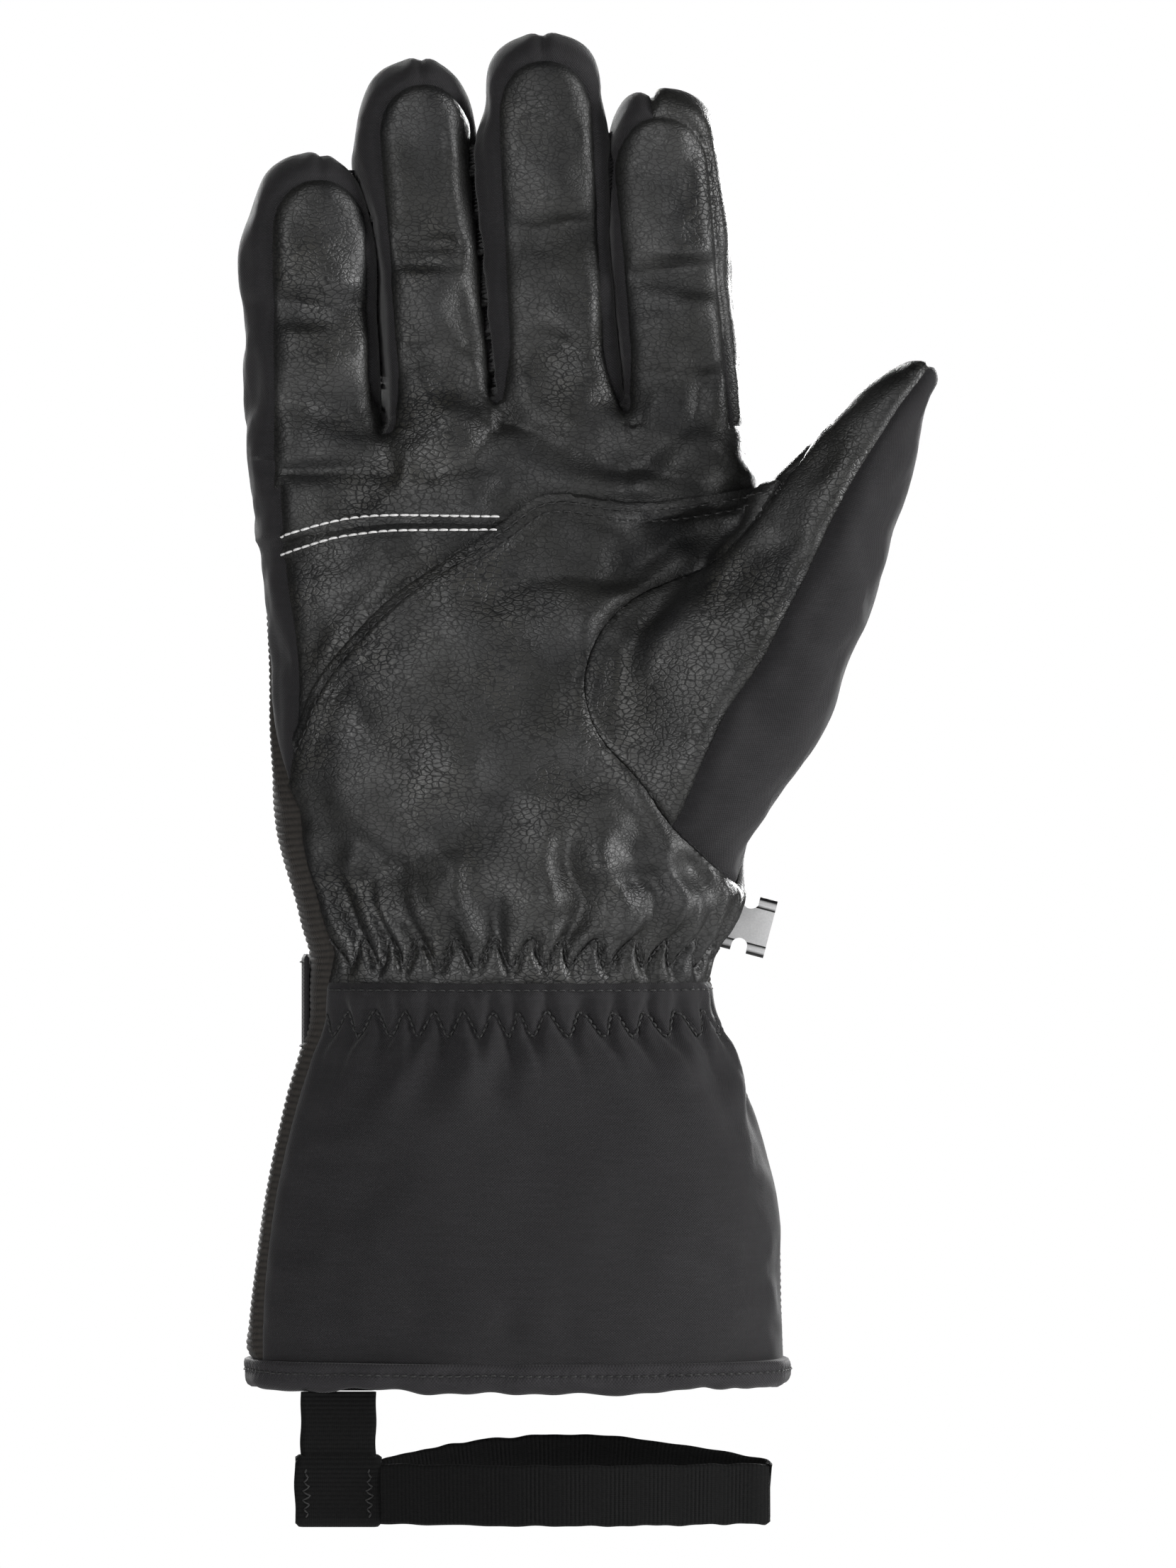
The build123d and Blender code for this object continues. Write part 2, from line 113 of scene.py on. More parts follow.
# Left edge, right edge, palm-side depth and back-side depth of the cuff and hand, by height.
PROFILE = np.array([
    (-4, -64.9, 65.0, 28.8, 29.0),
    (10, -65.0, 65.1, 28.6, 28.8),
    (30, -64.0, 64.2, 28.0, 28.2),
    (50, -61.0, 61.6, 27.4, 27.6),
    (70, -55.8, 55.8, 26.2, 25.8),
    (80, -52.8, 52.4, 25.2, 24.8),
    (88, -51.0, 49.0, 23.6, 24.2),
    (96, -51.0, 47.6, 24.6, 24.0),
    (105, -50.6, 47.4, 23.6, 24.0),
    (112, -52.4, 51.4, 25.2, 24.6),
    (118, -53.8, 53.8, 26.2, 24.8),
    (126, -56.0, 54.2, 26.8, 24.8),
    (140, -58.2, 55.0, 27.0, 24.4),
    (156, -59.6, 56.0, 26.0, 23.4),
    (176, -60.2, 57.0, 23.6, 21.4),
    (196, -61.8, 57.6, 20.4, 18.8),
    (215, -62.6, 60.6, 17.4, 16.4),
    (236, -63.6, 59.4, 14.4, 14.2),
    (260, -66.5, 55.0, 13.0, 13.0),
], float)

# The thumb about its own axis: distance from its base, centre across, half-width, centre depth, half-depth.
THUMB_BASE = np.array([34.0, 158.0])
THUMB_TIP = np.array([97.0, 243.0])
THUMB_PROFILE = np.array([
    (-40, 9.0, 22.0, -2.0, 15.0),
    (-20, 9.0, 25.5, -5.0, 18.0),
    (0, 8.2, 26.0, -8.5, 19.5),
    (15, 6.6, 26.6, -10.5, 19.0),
    (28, 7.6, 24.6, -12.5, 18.0),
    (42, 6.5, 21.1, -14.5, 16.5),
    (56, 4.3, 19.1, -16.0, 15.2),
    (68, 2.15, 16.35, -17.0, 14.0),
    (80, 0.6, 13.0, -18.0, 12.2),
    (90, -0.35, 10.55, -19.0, 10.6),
    (98, -0.9, 7.7, -19.6, 9.0),
    (104, -0.7, 5.5, -20.0, 7.2),
    (108, -0.5, 3.6, -20.3, 5.4),
    (110.5, -0.2, 1.2, -20.5, 2.4),
], float)

# Where neighbouring fingers touch, as x and z, from little-ring to middle-index. The walls lean across the
# glove by CONTACT_SLANT and stay CONTACT_GAP away from the middle.
CONTACTS = [
    np.array([(-30.7, 226), (-31.2, 236), (-32.8, 250.7), (-33.9, 269.8), (-36.6, 283), (-40.5, 292),
              (-46, 302)]),
    np.array([(-3.6, 226), (-3.8, 239.3), (-6.3, 260.3), (-8.6, 279.3), (-9.9, 298.4), (-10.1, 304),
              (-9.6, 325)]),
    np.array([(27.2, 226), (26.7, 236.4), (22.5, 260.3), (21, 279.3), (20.6, 298.4), (21.4, 306), (23, 325)]),
]
CONTACT_SLANT = (-0.30, 0.30, -0.30)
CONTACT_GAP = 0.22

# Seams, as x and z on the palm side.
OVERLAY = np.array([(-66, 138), (-53.2, 157), (-49.8, 168.5), (-43.9, 176.6), (-30.5, 191.2), (-15.3, 200.8),
                    (-3.5, 209), (2, 213.6), (6.5, 216), (15.2, 216), (26.7, 213.4), (40, 214.5),
                    (56.8, 217.6), (66, 219)])
WHITE_SEAM = np.array([(-70, 200), (-56.8, 203.6), (-43.9, 207.4), (-31.5, 209), (-19.1, 209), (-3, 208.6),
                       (8, 208.4)])
GUSSET = np.array([(-60.5, 330), (-59.6, 279), (-59.3, 250.7), (-57.8, 222.1), (-56.4, 195.4), (-54.0, 184),
                   (-52.8, 160), (-54.9, 143.9), (-62, 132)])
THUMB_SEAM = np.array([(66, 222), (56, 208), (46, 198.5), (38, 195.5), (28.6, 191.6), (20.5, 184),
                       (16.4, 174.5), (16.2, 166), (20, 156.3), (29.6, 146.8), (36.2, 136.3),
                       (45.8, 127.2), (54.5, 120.6), (62, 116)])
BACK_LEFT_Y = np.array([(-10, -11), (80, -10), (107, -14), (140, -14.5), (165, -3), (200, 4), (260, 6)])
BACK_RIGHT_Y = np.array([(-10, 4), (110, 4), (260, 5)])


# ---------------------------------------------------------------- small maths


def smooth_table(table, step=0.5):
    """A table's columns on a fine grid, by a monotone cubic through its rows."""
    x, y = table[:, 0], table[:, 1:]
    h = np.diff(x)[:, None]
    slope = np.diff(y, axis=0) / h
    m = np.zeros_like(y)
    m[1:-1] = (slope[:-1] * h[1:] + slope[1:] * h[:-1]) / (h[1:] + h[:-1])
    m[0], m[-1] = slope[0], slope[-1]
    fine = np.arange(x[0], x[-1] + step, step)
    k = np.clip(np.searchsorted(x, fine, side="right") - 1, 0, len(x) - 2)
    t = ((fine - x[k]) / (x[k + 1] - x[k]))[:, None]
    hk = h[k]
    out = ((1 + 2 * t) * (1 - t) ** 2 * y[k] + t * (1 - t) ** 2 * hk * m[k]
           + t * t * (3 - 2 * t) * y[k + 1] + t * t * (t - 1) * hk * m[k + 1])
    return fine, out


def lookup(table, values):
    fine, columns = table
    return [np.interp(values, fine, columns[:, i]) for i in range(columns.shape[1])]


PROFILE_T = smooth_table(PROFILE)
THUMB_T = smooth_table(THUMB_PROFILE)


def smooth_min(a, b, k):
    h = np.clip(0.5 + 0.5 * (b - a) / k, 0, 1)
    return b + (a - b) * h - k * h * (1 - h)


def oval(x, y, a, b, n):
    """Rough signed distance to a rounded section of half-sizes a and b."""
    q = (np.abs(x / a) ** n + np.abs(y / b) ** n) ** (1 / n)
    g = np.sqrt((x / a**2) ** 2 + (y / b**2) ** 2) + 1e-9
    return np.clip(q, 0.05, None) * (q - 1) / g


def waves(points, wavelength, seed, count=7):
    """Smooth repeatable noise of about unit size."""
    rng = np.random.RandomState(seed)
    total = np.zeros(len(points))
    for _ in range(count):
        direction = rng.normal(size=3)
        direction /= np.linalg.norm(direction)
        k = 2 * math.pi / (wavelength * rng.uniform(0.7, 1.4))
        total += np.sin(points @ direction * k + rng.uniform(0, 2 * math.pi))
    return total / math.sqrt(count / 2)


def bump(x, width):
    return np.exp(-((x / width) ** 2))


def line_distance(points, curve):
    """Signed distance in the x-z plane to a curve: positive on its right-hand side along its direction."""
    p = points[:, [0, 2]]
    best = np.full(len(p), 1e9)
    sign = np.ones(len(p))
    for a, b in zip(curve[:-1], curve[1:]):
        d = b - a
        t = np.clip(((p - a) @ d) / (d @ d), 0, 1)
        rel = p - (a + t[:, None] * d)
        dist = np.hypot(rel[:, 0], rel[:, 1])
        side = (p[:, 0] - a[0]) * d[1] - (p[:, 1] - a[1]) * d[0]
        closer = dist < best - 1e-9
        sign = np.where(closer, np.where(side >= 0, 1.0, -1.0), sign)
        best = np.where(closer, dist, best)
    return best * sign


def rounded(curve, rounds=2):
    """A polyline with its corners cut, keeping its ends."""
    for _ in range(rounds):
        q = 0.75 * curve[:-1] + 0.25 * curve[1:]
        r = 0.25 * curve[:-1] + 0.75 * curve[1:]
        mid = np.empty((2 * len(q), curve.shape[1]))
        mid[0::2], mid[1::2] = q, r
        curve = np.vstack([curve[:1], mid[1:-1], curve[-1:]])
    return curve


OVERLAY, GUSSET, THUMB_SEAM = rounded(OVERLAY), rounded(GUSSET), rounded(THUMB_SEAM)
WHITE_SEAM = rounded(WHITE_SEAM)


# ---------------------------------------------------------------- the glove's outer shape


class Finger:
    """One finger's own coordinates: s along it from the knuckle fold, u across, v to the back."""

    def __init__(self, name):
        self.name = name
        half, shift, tip_x, self.knuckle_fold, self.middle_fold, self.left, self.right = FINGER_STYLE[name]
        self.half = half
        (self.reach_left, self.reach_right, self.tip_half, self.narrow_from, self.narrow_to, self.square,
         self.root_taper) = FINGER_WIDTHS[name]
        knuckle, middle = joint_pos(name + "_knuckle"), joint_pos(name + "_middle_joint")
        self.knuckle = np.array([knuckle[0] + shift, knuckle[2]])
        self.tip_z = node_box(name + "_tip_fabric")[1][2]
        tip = np.array([tip_x, self.tip_z])
        self.length = np.linalg.norm(tip - self.knuckle)
        self.along = (tip - self.knuckle) / self.length
        self.across = np.array([self.along[1], -self.along[0]])
        self.middle_s = (middle[[0, 2]] - self.knuckle) @ self.along
        self.cap = 13.5 if name != "index" else 12.5
        self.cap_start = self.length - self.cap
        self.lean = (0.05, 0.10)
        i = FINGERS.index(name)
        self.walls = [(k, side) for k, side in ((i - 1, -1.0), (i, 1.0)) if 0 <= k < 3]

    def local(self, p):
        q = p[:, [0, 2]] - self.knuckle
        s, u = q @ self.along, q @ self.across
        bend = self.middle_s
        rise = np.maximum(s, 0) * self.lean[0] + np.maximum(s - bend, 0) * self.lean[1]
        return s, u, p[:, 1] + rise

    def level_starts(self):
        """Where along the finger its lower piece and its upper piece start."""
        middle_start = self.middle_s - self.middle_fold
        return -self.knuckle_fold, (self.knuckle_fold + middle_start) / 2

    def width(self, s, reach):
        taper = np.clip((s - self.cap_start - self.narrow_from) / (self.narrow_to - self.narrow_from), 0, 1)
        taper = taper * taper * (3 - 2 * taper)
        waist = 0.5 * bump(s - self.middle_s + 1, 9)
        root = self.root_taper * np.clip(-5 - s, 0, 40)
        return reach - (reach - self.tip_half) * taper - waist - root

    def sdf(self, p):
        s, u, v = self.local(p)
        a = np.where(u < 0, self.width(s, self.reach_left), self.width(s, self.reach_right))
        b = FINGER_DEPTH - 0.8 * np.clip((s - self.middle_s) / 40, 0, 1) - 0.5 * bump(s - self.middle_s, 9)
        pads = 1.8 * bump(s - 0.45 * self.middle_s, 9) + 1.2 * bump(s - self.middle_s - 14, 10)
        b += np.where(v < 0, pads, 0)
        side = oval(u, v, a, b, FINGER_SQUARE)
        t = np.clip(s - self.cap_start, 0, None) / self.cap
        n = self.square
        q = (np.abs(u / a) ** TIP_SQUARE + np.abs(v / b) ** TIP_SQUARE) ** (n / TIP_SQUARE) + t**n
        q = q ** (1 / n)
        g = np.sqrt((u / a**2) ** 2 + (v / b**2) ** 2 + (t / self.cap) ** 2) + 1e-9
        cap = np.clip(q, 0.05, None) * (q - 1) / g
        d = np.where(s > self.cap_start, cap, side)
        for k, sign in self.walls:
            line = np.interp(p[:, 2], CONTACTS[k][:, 1], CONTACTS[k][:, 0])
            wall = sign * (p[:, 0] - line - CONTACT_SLANT[k] * (p[:, 1] + 2)) + CONTACT_GAP
            d = -smooth_min(-d, -wall * 0.95, 2.6)
        return d


FINGER = {name: Finger(name) for name in FINGERS}


def thumb_local(p):
    d = THUMB_TIP - THUMB_BASE
    d = d / np.linalg.norm(d)
    q = p[:, [0, 2]] - THUMB_BASE
    return q @ d, q @ np.array([d[1], -d[0]])


def thumb_sdf(p):
    s, r = thumb_local(p)
    rc, half, yc, depth = lookup(THUMB_T, s)
    side = oval(r - rc, p[:, 1] - yc, half, depth, 2.15)
    tip = s - 110.4
    low = -22.0 - s
    return np.maximum(np.maximum(side, tip), -smooth_min(-side, -low, 12.0))


PALM_HOLLOW = (5.5, 24.0, 26.0, 209.0, 19.0)  # depth, then centre and width across and along the hand
# The hand's top edge under the fingers, as x and z.
HAND_TOP = np.array([(-66, 226), (-48, 231), (-30, 232), (-17, 235), (-4, 238), (12, 238), (27, 236),
                     (42, 233), (60, 220)])


def hand_sdf(p):
    left, right, front, back = lookup(PROFILE_T, p[:, 2])
    x, y = p[:, 0], p[:, 1]
    half, centre = (right - left) / 2, (right + left) / 2
    deep, at_x, width_x, at_z, width_z = PALM_HOLLOW
    hollow = deep * bump(x - at_x, width_x) * bump(p[:, 2] - at_z, width_z)
    depth = np.where(y < 0, front - hollow, back)
    side = oval(x - centre, y, half, depth, 2.4)
    top_z = np.interp(x, HAND_TOP[:, 0], HAND_TOP[:, 1])
    top = (p[:, 2] - top_z) * 0.9
    return -smooth_min(-side, -top, 9.0)


def glove_parts(p):
    hand = hand_sdf(p)
    fingers = {name: f.sdf(p) for name, f in FINGER.items()}
    low = {name: np.maximum(d, -FINGER[name].local(p)[0] - 32) for name, d in fingers.items()}
    return hand, low, thumb_sdf(p)


def glove_sdf(p):
    hand, fingers, thumb = glove_parts(p)
    d = hand
    near = np.minimum.reduce(list(fingers.values()))
    d = smooth_min(d, near, 7.0)
    return smooth_min(d, thumb, 3.2)


def gradient(p, sdf=glove_sdf, h=0.25):
    g = np.empty_like(p)
    for i in range(3):
        step = np.zeros(3)
        step[i] = h
        g[:, i] = (sdf(p + step) - sdf(p - step)) / (2 * h)
    return g


# ---------------------------------------------------------------- surface nets


def surface_nets(sdf, low, high, step):
    """Vertices and quads of a field's zero surface."""
    axes = [np.arange(low[i], high[i] + step, step) for i in range(3)]
    shape = tuple(len(a) for a in axes)
    coarse = 4
    rough_axes = [np.arange(low[i], high[i] + (coarse + 1) * step, coarse * step) for i in range(3)]
    mesh = np.stack(np.meshgrid(*rough_axes, indexing="ij"), -1).reshape(-1, 3)
    rough = sdf(mesh).reshape([len(a) for a in rough_axes])

    def spread(values):
        wide = values.repeat(coarse, 0).repeat(coarse, 1).repeat(coarse, 2)
        return wide[: shape[0], : shape[1], : shape[2]]

    # the field is worked out finely only near the surface
    field = spread(rough).copy()
    mask = spread(np.abs(rough) < coarse * step * 2.2)
    mask = mask | np.roll(mask, (coarse // 2,) * 3, (0, 1, 2))
    idx = np.argwhere(mask)
    points = np.stack([axes[i][idx[:, i]] for i in range(3)], -1)
    values = np.empty(len(points))
    block = 400000
    for start in range(0, len(points), block):
        values[start:start + block] = sdf(points[start:start + block])
    field[idx[:, 0], idx[:, 1], idx[:, 2]] = values
    inside = field < 0
    corner = [(a, b, c) for a in (0, 1) for b in (0, 1) for c in (0, 1)]

    def cut(arr, o):
        return arr[tuple(slice(o[i], arr.shape[i] - 1 + o[i]) for i in range(3))]

    count = sum(cut(inside, o).astype(np.int8) for o in corner)
    active = (count > 0) & (count < 8)
    cells = np.argwhere(active)
    number = -np.ones(active.shape, np.int64)
    number[active] = np.arange(len(cells))
    total = np.zeros((len(cells), 3))
    hits = np.zeros(len(cells))
    for axis in range(3):
        for i in (0, 1):
            for j in (0, 1):
                o = [i, j]
                o.insert(axis, 0)
                a = np.array(o)
                b = a.copy()
                b[axis] = 1
                fa = field[tuple((cells + a).T)]
                fb = field[tuple((cells + b).T)]
                crossing = (fa < 0) != (fb < 0)
                t = np.where(crossing, fa / np.where(crossing, fa - fb, 1), 0)
                pos = cells + a + t[:, None] * (b - a)
                total += pos * crossing[:, None]
                hits += crossing
    verts = np.array([a[0] for a in axes]) + total / hits[:, None] * step
    quads = []
    for axis in range(3):
        u, v = (axis + 1) % 3, (axis + 2) % 3
        a = inside[tuple(slice(0, -1) if k == axis else slice(1, -1) for k in range(3))]
        b = inside[tuple(slice(1, None) if k == axis else slice(1, -1) for k in range(3))]
        edge = np.argwhere(a != b)
        base = edge.copy()
        base[:, u] += 1
        base[:, v] += 1
        first = a[tuple(edge.T)]

        def cell(du, dv):
            c = base.copy()
            c[:, u] -= du
            c[:, v] -= dv
            return number[tuple(c.T)]

        quad = np.stack([cell(1, 1), cell(0, 1), cell(0, 0), cell(1, 0)], -1)
        quad[~first] = quad[~first][:, ::-1]
        quads.append(quad)
    return verts, np.vstack(quads)


def project(verts, sdf=glove_sdf, rounds=3):
    for _ in range(rounds):
        g = gradient(verts, sdf)
        d = sdf(verts)
        length2 = np.clip((g * g).sum(1), 0.04, None)
        verts = verts - g * np.clip(d / length2, -1.0, 1.0)[:, None]
    return verts


def unit(v):
    return v / np.clip(np.linalg.norm(v, axis=1), 1e-9, None)[:, None]


def relax(verts, faces, rounds, amount=0.5):
    """Evens out the vertices along the surface."""
    edges = np.vstack([faces[:, [i, (i + 1) % faces.shape[1]]] for i in range(faces.shape[1])])
    for _ in range(rounds):
        total = np.zeros_like(verts)
        count = np.zeros(len(verts))
        for a, b in ((0, 1), (1, 0)):
            np.add.at(total, edges[:, a], verts[edges[:, b]])
            np.add.at(count, edges[:, a], 1)
        verts = verts + amount * (total / np.clip(count, 1, None)[:, None] - verts)
    return verts


# ---------------------------------------------------------------- cutting a triangle mesh along a field


def cut_mesh(verts, tris, value, mask=None, snap=0.12):
    """Splits the triangles where the field value (one number for each vertex) crosses zero."""
    value = np.where(np.abs(value) < snap, 0.0, value)
    sign = np.sign(value)
    edge = np.stack([tris[:, [0, 1]], tris[:, [1, 2]], tris[:, [2, 0]]], 1)
    crossing = sign[edge[..., 0]] * sign[edge[..., 1]] < 0
    if mask is not None:
        crossing &= mask[tris].all(1)[:, None]
    key = np.sort(edge, -1)
    code = key[..., 0] * (len(verts) + 1) + key[..., 1]
    wanted = np.unique(code[crossing])
    if not len(wanted):
        return verts, tris
    a, b = wanted // (len(verts) + 1), wanted % (len(verts) + 1)
    t = value[a] / (value[a] - value[b])
    new = verts[a] + t[:, None] * (verts[b] - verts[a])
    place = np.clip(np.searchsorted(wanted, code), 0, len(wanted) - 1)
    is_cut = wanted[place] == code
    point = np.where(is_cut, place + len(verts), -1)
    total = is_cut.sum(1)
    out = [tris[total == 0]]
    for k in range(3):
        one = (total == 1) & is_cut[:, k]
        v = np.roll(tris[one], -k, 1)
        m = point[one, k]
        out += [np.stack([v[:, 0], m, v[:, 2]], 1), np.stack([m, v[:, 1], v[:, 2]], 1)]
        # two cut edges: the edge after k is whole, so vertex k is cut off from the other two
        two = (total == 2) & ~is_cut[:, (k + 1) % 3]
        v = np.roll(tris[two], -k, 1)
        p, q = point[two, k], point[two, (k + 2) % 3]
        out += [np.stack([v[:, 0], p, q], 1), np.stack([p, v[:, 1], v[:, 2]], 1),
                np.stack([p, v[:, 2], q], 1)]
    three = total == 3
    v, m = tris[three], point[three]
    out += [np.stack([v[:, 0], m[:, 0], m[:, 2]], 1), np.stack([v[:, 1], m[:, 1], m[:, 0]], 1),
            np.stack([v[:, 2], m[:, 2], m[:, 1]], 1), m]
    return np.vstack([verts, new]), np.vstack(out)


# ---------------------------------------------------------------- where the panels meet


def back_field(p):
    """Positive on the ribbed back of the cuff and hand."""
    left = np.interp(p[:, 2], BACK_LEFT_Y[:, 0], BACK_LEFT_Y[:, 1])
    right = np.interp(p[:, 2], BACK_RIGHT_Y[:, 0], BACK_RIGHT_Y[:, 1])
    return p[:, 1] - np.where(p[:, 0] < 0, left, right)


def thumb_field(p):
    """Positive on the thumb."""
    front = -line_distance(p, THUMB_SEAM)
    hand, fingers, thumb = glove_parts(p)
    near = np.minimum(hand, np.minimum.reduce(list(fingers.values())))
    back = np.clip(near - thumb, -30, 30)
    blend = np.clip((p[:, 1] + 6) / 6, 0, 1)
    outside = p[:, 0] - 30
    return np.where(outside > 0, front * (1 - blend) + back * blend, np.where(p[:, 1] < 0, front, -20))


def thumb_angle(p):
    """Angle round the thumb from its inner side, negative over the front, and the half-width there."""
    s, r = thumb_local(p)
    rc, half, yc, depth = lookup(THUMB_T, s)
    angle = np.arctan2((p[:, 1] - yc) / depth, -(r - rc) / half)
    return angle, half, s


def thumb_leather_field(p):
    """Positive on the thumb's inner leather face."""
    angle, half, s = thumb_angle(p)
    front_limit = np.interp(s, [-14, 0, 40, 80, 108], [1.86, 1.75, 1.62, 1.60, 1.70])
    front = (angle + front_limit) * half * 0.9
    back = (0.95 - angle) * half * 0.9
    return np.minimum(front, back)


def finger_owner(p):
    """Which finger each point is nearest to."""
    return np.argmin(np.stack([FINGER[n].sdf(p) for n in FINGERS]), 0)


CROTCHES = ((-30.6, 231.5), (-4.2, 239.4), (26.6, 237.0))
NEIGHBOUR_CROTCH = {"little": (None, 0), "ring": (0, 1), "middle": (1, 2), "index": (2, None)}
BLEND_UP = 16.0


def finger_edges(f, s):
    """The leather front's left and right edges across the finger. They run to the crotches at the root."""
    edges = []
    for side, share in ((0, f.left), (1, f.right)):
        edge = np.full(len(s), share * f.half)
        which = NEIGHBOUR_CROTCH[f.name][side]
        if which is not None:
            rel = np.array(CROTCHES[which]) - f.knuckle
            s0, u0 = rel @ f.along, rel @ f.across
            t = np.clip((s - s0) / BLEND_UP, 0, 1)
            t = 1 - (1 - t) ** 2
            edge = u0 + (edge - u0) * t
        edges.append(edge)
    return edges


def finger_front_field(f, p):
    """Positive on a finger's leather front."""
    s, u, v = f.local(p)
    left, right = finger_edges(f, s)
    centre, half = (left + right) / 2, (right - left) / 2
    arch = half * 1.05
    top = f.length - 6.4
    rise = np.clip(s - (top - arch), 0, None) * half / arch
    field = half - np.hypot(u - centre, rise)
    return np.where((v < 1) & (s > -22), field, -8.0)


def palm_leather_field(p):
    """Positive on the leather of the front of the hand and of its four fingers."""
    owner = finger_owner(p)
    fingers = np.full(len(p), -8.0)
    for i, name in enumerate(FINGERS):
        m = owner == i
        if m.any():
            fingers[m] = finger_front_field(FINGER[name], p[m])
    line = np.interp(p[:, 0], [-60, -30.6, -4.2, 26.6, 60], [229, 231.5, 239.4, 237, 232])
    body = np.minimum(-line_distance(p, GUSSET), line - p[:, 2])
    body = np.where(p[:, 1] < 2, body, -8.0)
    return np.maximum(fingers, body)


def index_side_field(p):
    """Positive on the leather strip down the index finger's outer side."""
    f = FINGER["index"]
    s, u, v = f.local(p)
    side = 0.80 * f.half
    top = f.length
    places = [-34, -20, 0, 10, top - 19, top - 12, top]
    edge = np.interp(s, places, [side + 3.0, side + 1.6, side + 0.4, side, side, -1.0, -1.6])
    field = np.minimum(u - edge, 3.5 - v)
    return np.minimum(field, (p[:, 2] - 205) * 0.5)


# ---------------------------------------------------------------- folds and grooves

# Length round an oval of about the wrist's size, by angle from the middle of the palm side.
WRIST_HALF_X, WRIST_HALF_Y = 50, 24
WRIST_ANGLES = np.linspace(-math.pi, math.pi, 721)
WRIST_SPEED = np.hypot(WRIST_HALF_X * np.cos(WRIST_ANGLES[1:]), WRIST_HALF_Y * np.sin(WRIST_ANGLES[1:]))
WRIST_ARC = np.concatenate([[0], np.cumsum(WRIST_SPEED * (WRIST_ANGLES[1] - WRIST_ANGLES[0]))])
WRIST_ARC -= np.interp(0, WRIST_ANGLES, WRIST_ARC)
WRIST_DEPTH = 24.5


def wrist_arc(p):
    """Length round the wrist from the middle of the palm side, in millimetres."""
    left, right, front, back = lookup(PROFILE_T, p[:, 2])
    half, centre = (right - left) / 2, (right + left) / 2
    angle = np.arctan2((p[:, 0] - centre) / half, -p[:, 1] / WRIST_DEPTH)
    return np.interp(angle, WRIST_ANGLES, WRIST_ARC)


def jittered(pitch, seed, spread=0.24, reach=75.0):
    """Places along the wrist where a gather's teeth begin."""
    rng = np.random.RandomState(seed)
    steps = pitch * rng.uniform(1 - spread, 1 + spread, int(2 * reach / pitch) + 4)
    return np.cumsum(steps) - reach


# The gathers' teeth above and below the seam, and each zigzag's height and half-swing.
UPPER_TEETH = jittered(7.7, 11)
LOWER_TEETH = jittered(7.4, 23)
UPPER_ROW = (105.2, 3.9)
LOWER_ROW = (88.0, 3.6)


def tooth_phase(arc, teeth):
    return np.interp(arc, teeth, np.arange(len(teeth), dtype=float))


def zigzag_height(arc, teeth, row):
    phase = tooth_phase(arc, teeth) % 1.0
    return row[0] + row[1] * (1 - 4 * np.abs(phase - 0.5))


def add_teeth(total, z, line, phase, power, above, below, notch):
    """Adds the folds on both sides of an elastic's zigzag line. above and below: run-in, height, reach."""
    wave = np.cos(2 * math.pi * phase)
    sharp = np.sign(wave) * np.abs(wave) ** power
    rise = np.clip((z - line) / above[0], 0, 1)
    fall = np.clip((line - z) / below[0], 0, 1)
    high = sharp * rise * above[1] * np.exp(-((z - line) / above[2]) ** 2)
    low = -sharp * fall * below[1] * np.exp(-((line - z) / below[2]) ** 2)
    total += np.where(z > line, high, low)
    total -= notch[0] * bump((z - line) * 0.62, notch[1])


def gather_folds(p):
    """The folds that the two wrist elastics pull into the palm side."""
    arc, z = wrist_arc(p), p[:, 2]
    wander = 1.6 * waves(np.stack([arc * 0.4, z * 0, z], 1), 26, 5)
    up = np.clip(z - UPPER_ROW[0], 0, None)
    down = np.clip(LOWER_ROW[0] - z, 0, None)
    total = np.zeros(len(p))
    # leather side
    phase = tooth_phase(arc + wander * np.clip(up / 12, 0, 1), UPPER_TEETH)
    line = zigzag_height(arc, UPPER_TEETH, UPPER_ROW)
    add_teeth(total, z, line, phase, 0.75, (2.5, 1.3, 10.0), (2.0, 1.35, 7.5), (1.1, 1.0))
    # wider folds further up the leather
    slow = tooth_phase(arc + 2.2 * wander * np.clip(up / 18, 0, 1) + 0.12 * up, UPPER_TEETH)
    level = 0.5 + 0.5 * waves(np.stack([arc, z * 0, z * 0.3], 1), 24, 8)
    wide = np.cos(math.pi * slow + 1.1)
    total += 1.9 * np.clip(level, 0, 1.3) * wide * np.exp(-((z - 122) / 14.0) ** 2) * np.clip(up / 6, 0, 1)
    # fabric side, then wider folds further down the fabric
    phase = tooth_phase(arc + wander * np.clip(down / 8, 0, 1), LOWER_TEETH)
    line = zigzag_height(arc, LOWER_TEETH, LOWER_ROW)
    add_teeth(total, z, line, phase, 0.8, (2.0, 1.0, 6.5), (2.5, 1.1, 6.5), (0.9, 0.95))
    slow = tooth_phase(arc - 2.0 * wander * np.clip(down / 14, 0, 1), LOWER_TEETH)
    level = 0.4 + 0.6 * waves(np.stack([arc, z * 0, z * 0.2], 1), 30, 9)
    wide = np.cos(math.pi * slow)
    total += 1.4 * np.clip(level, 0, 1.2) * wide * np.exp(-((z - 75) / 10.0) ** 2) * np.clip(down / 5, 0, 1)
    fade = np.clip(-back_field(p) / 7, 0, 1) * np.exp(-(np.clip(z - 128, 0, None) / 14) ** 2)
    fade *= np.exp(-(np.clip(64 - z, 0, None) / 10) ** 2)
    return total * fade


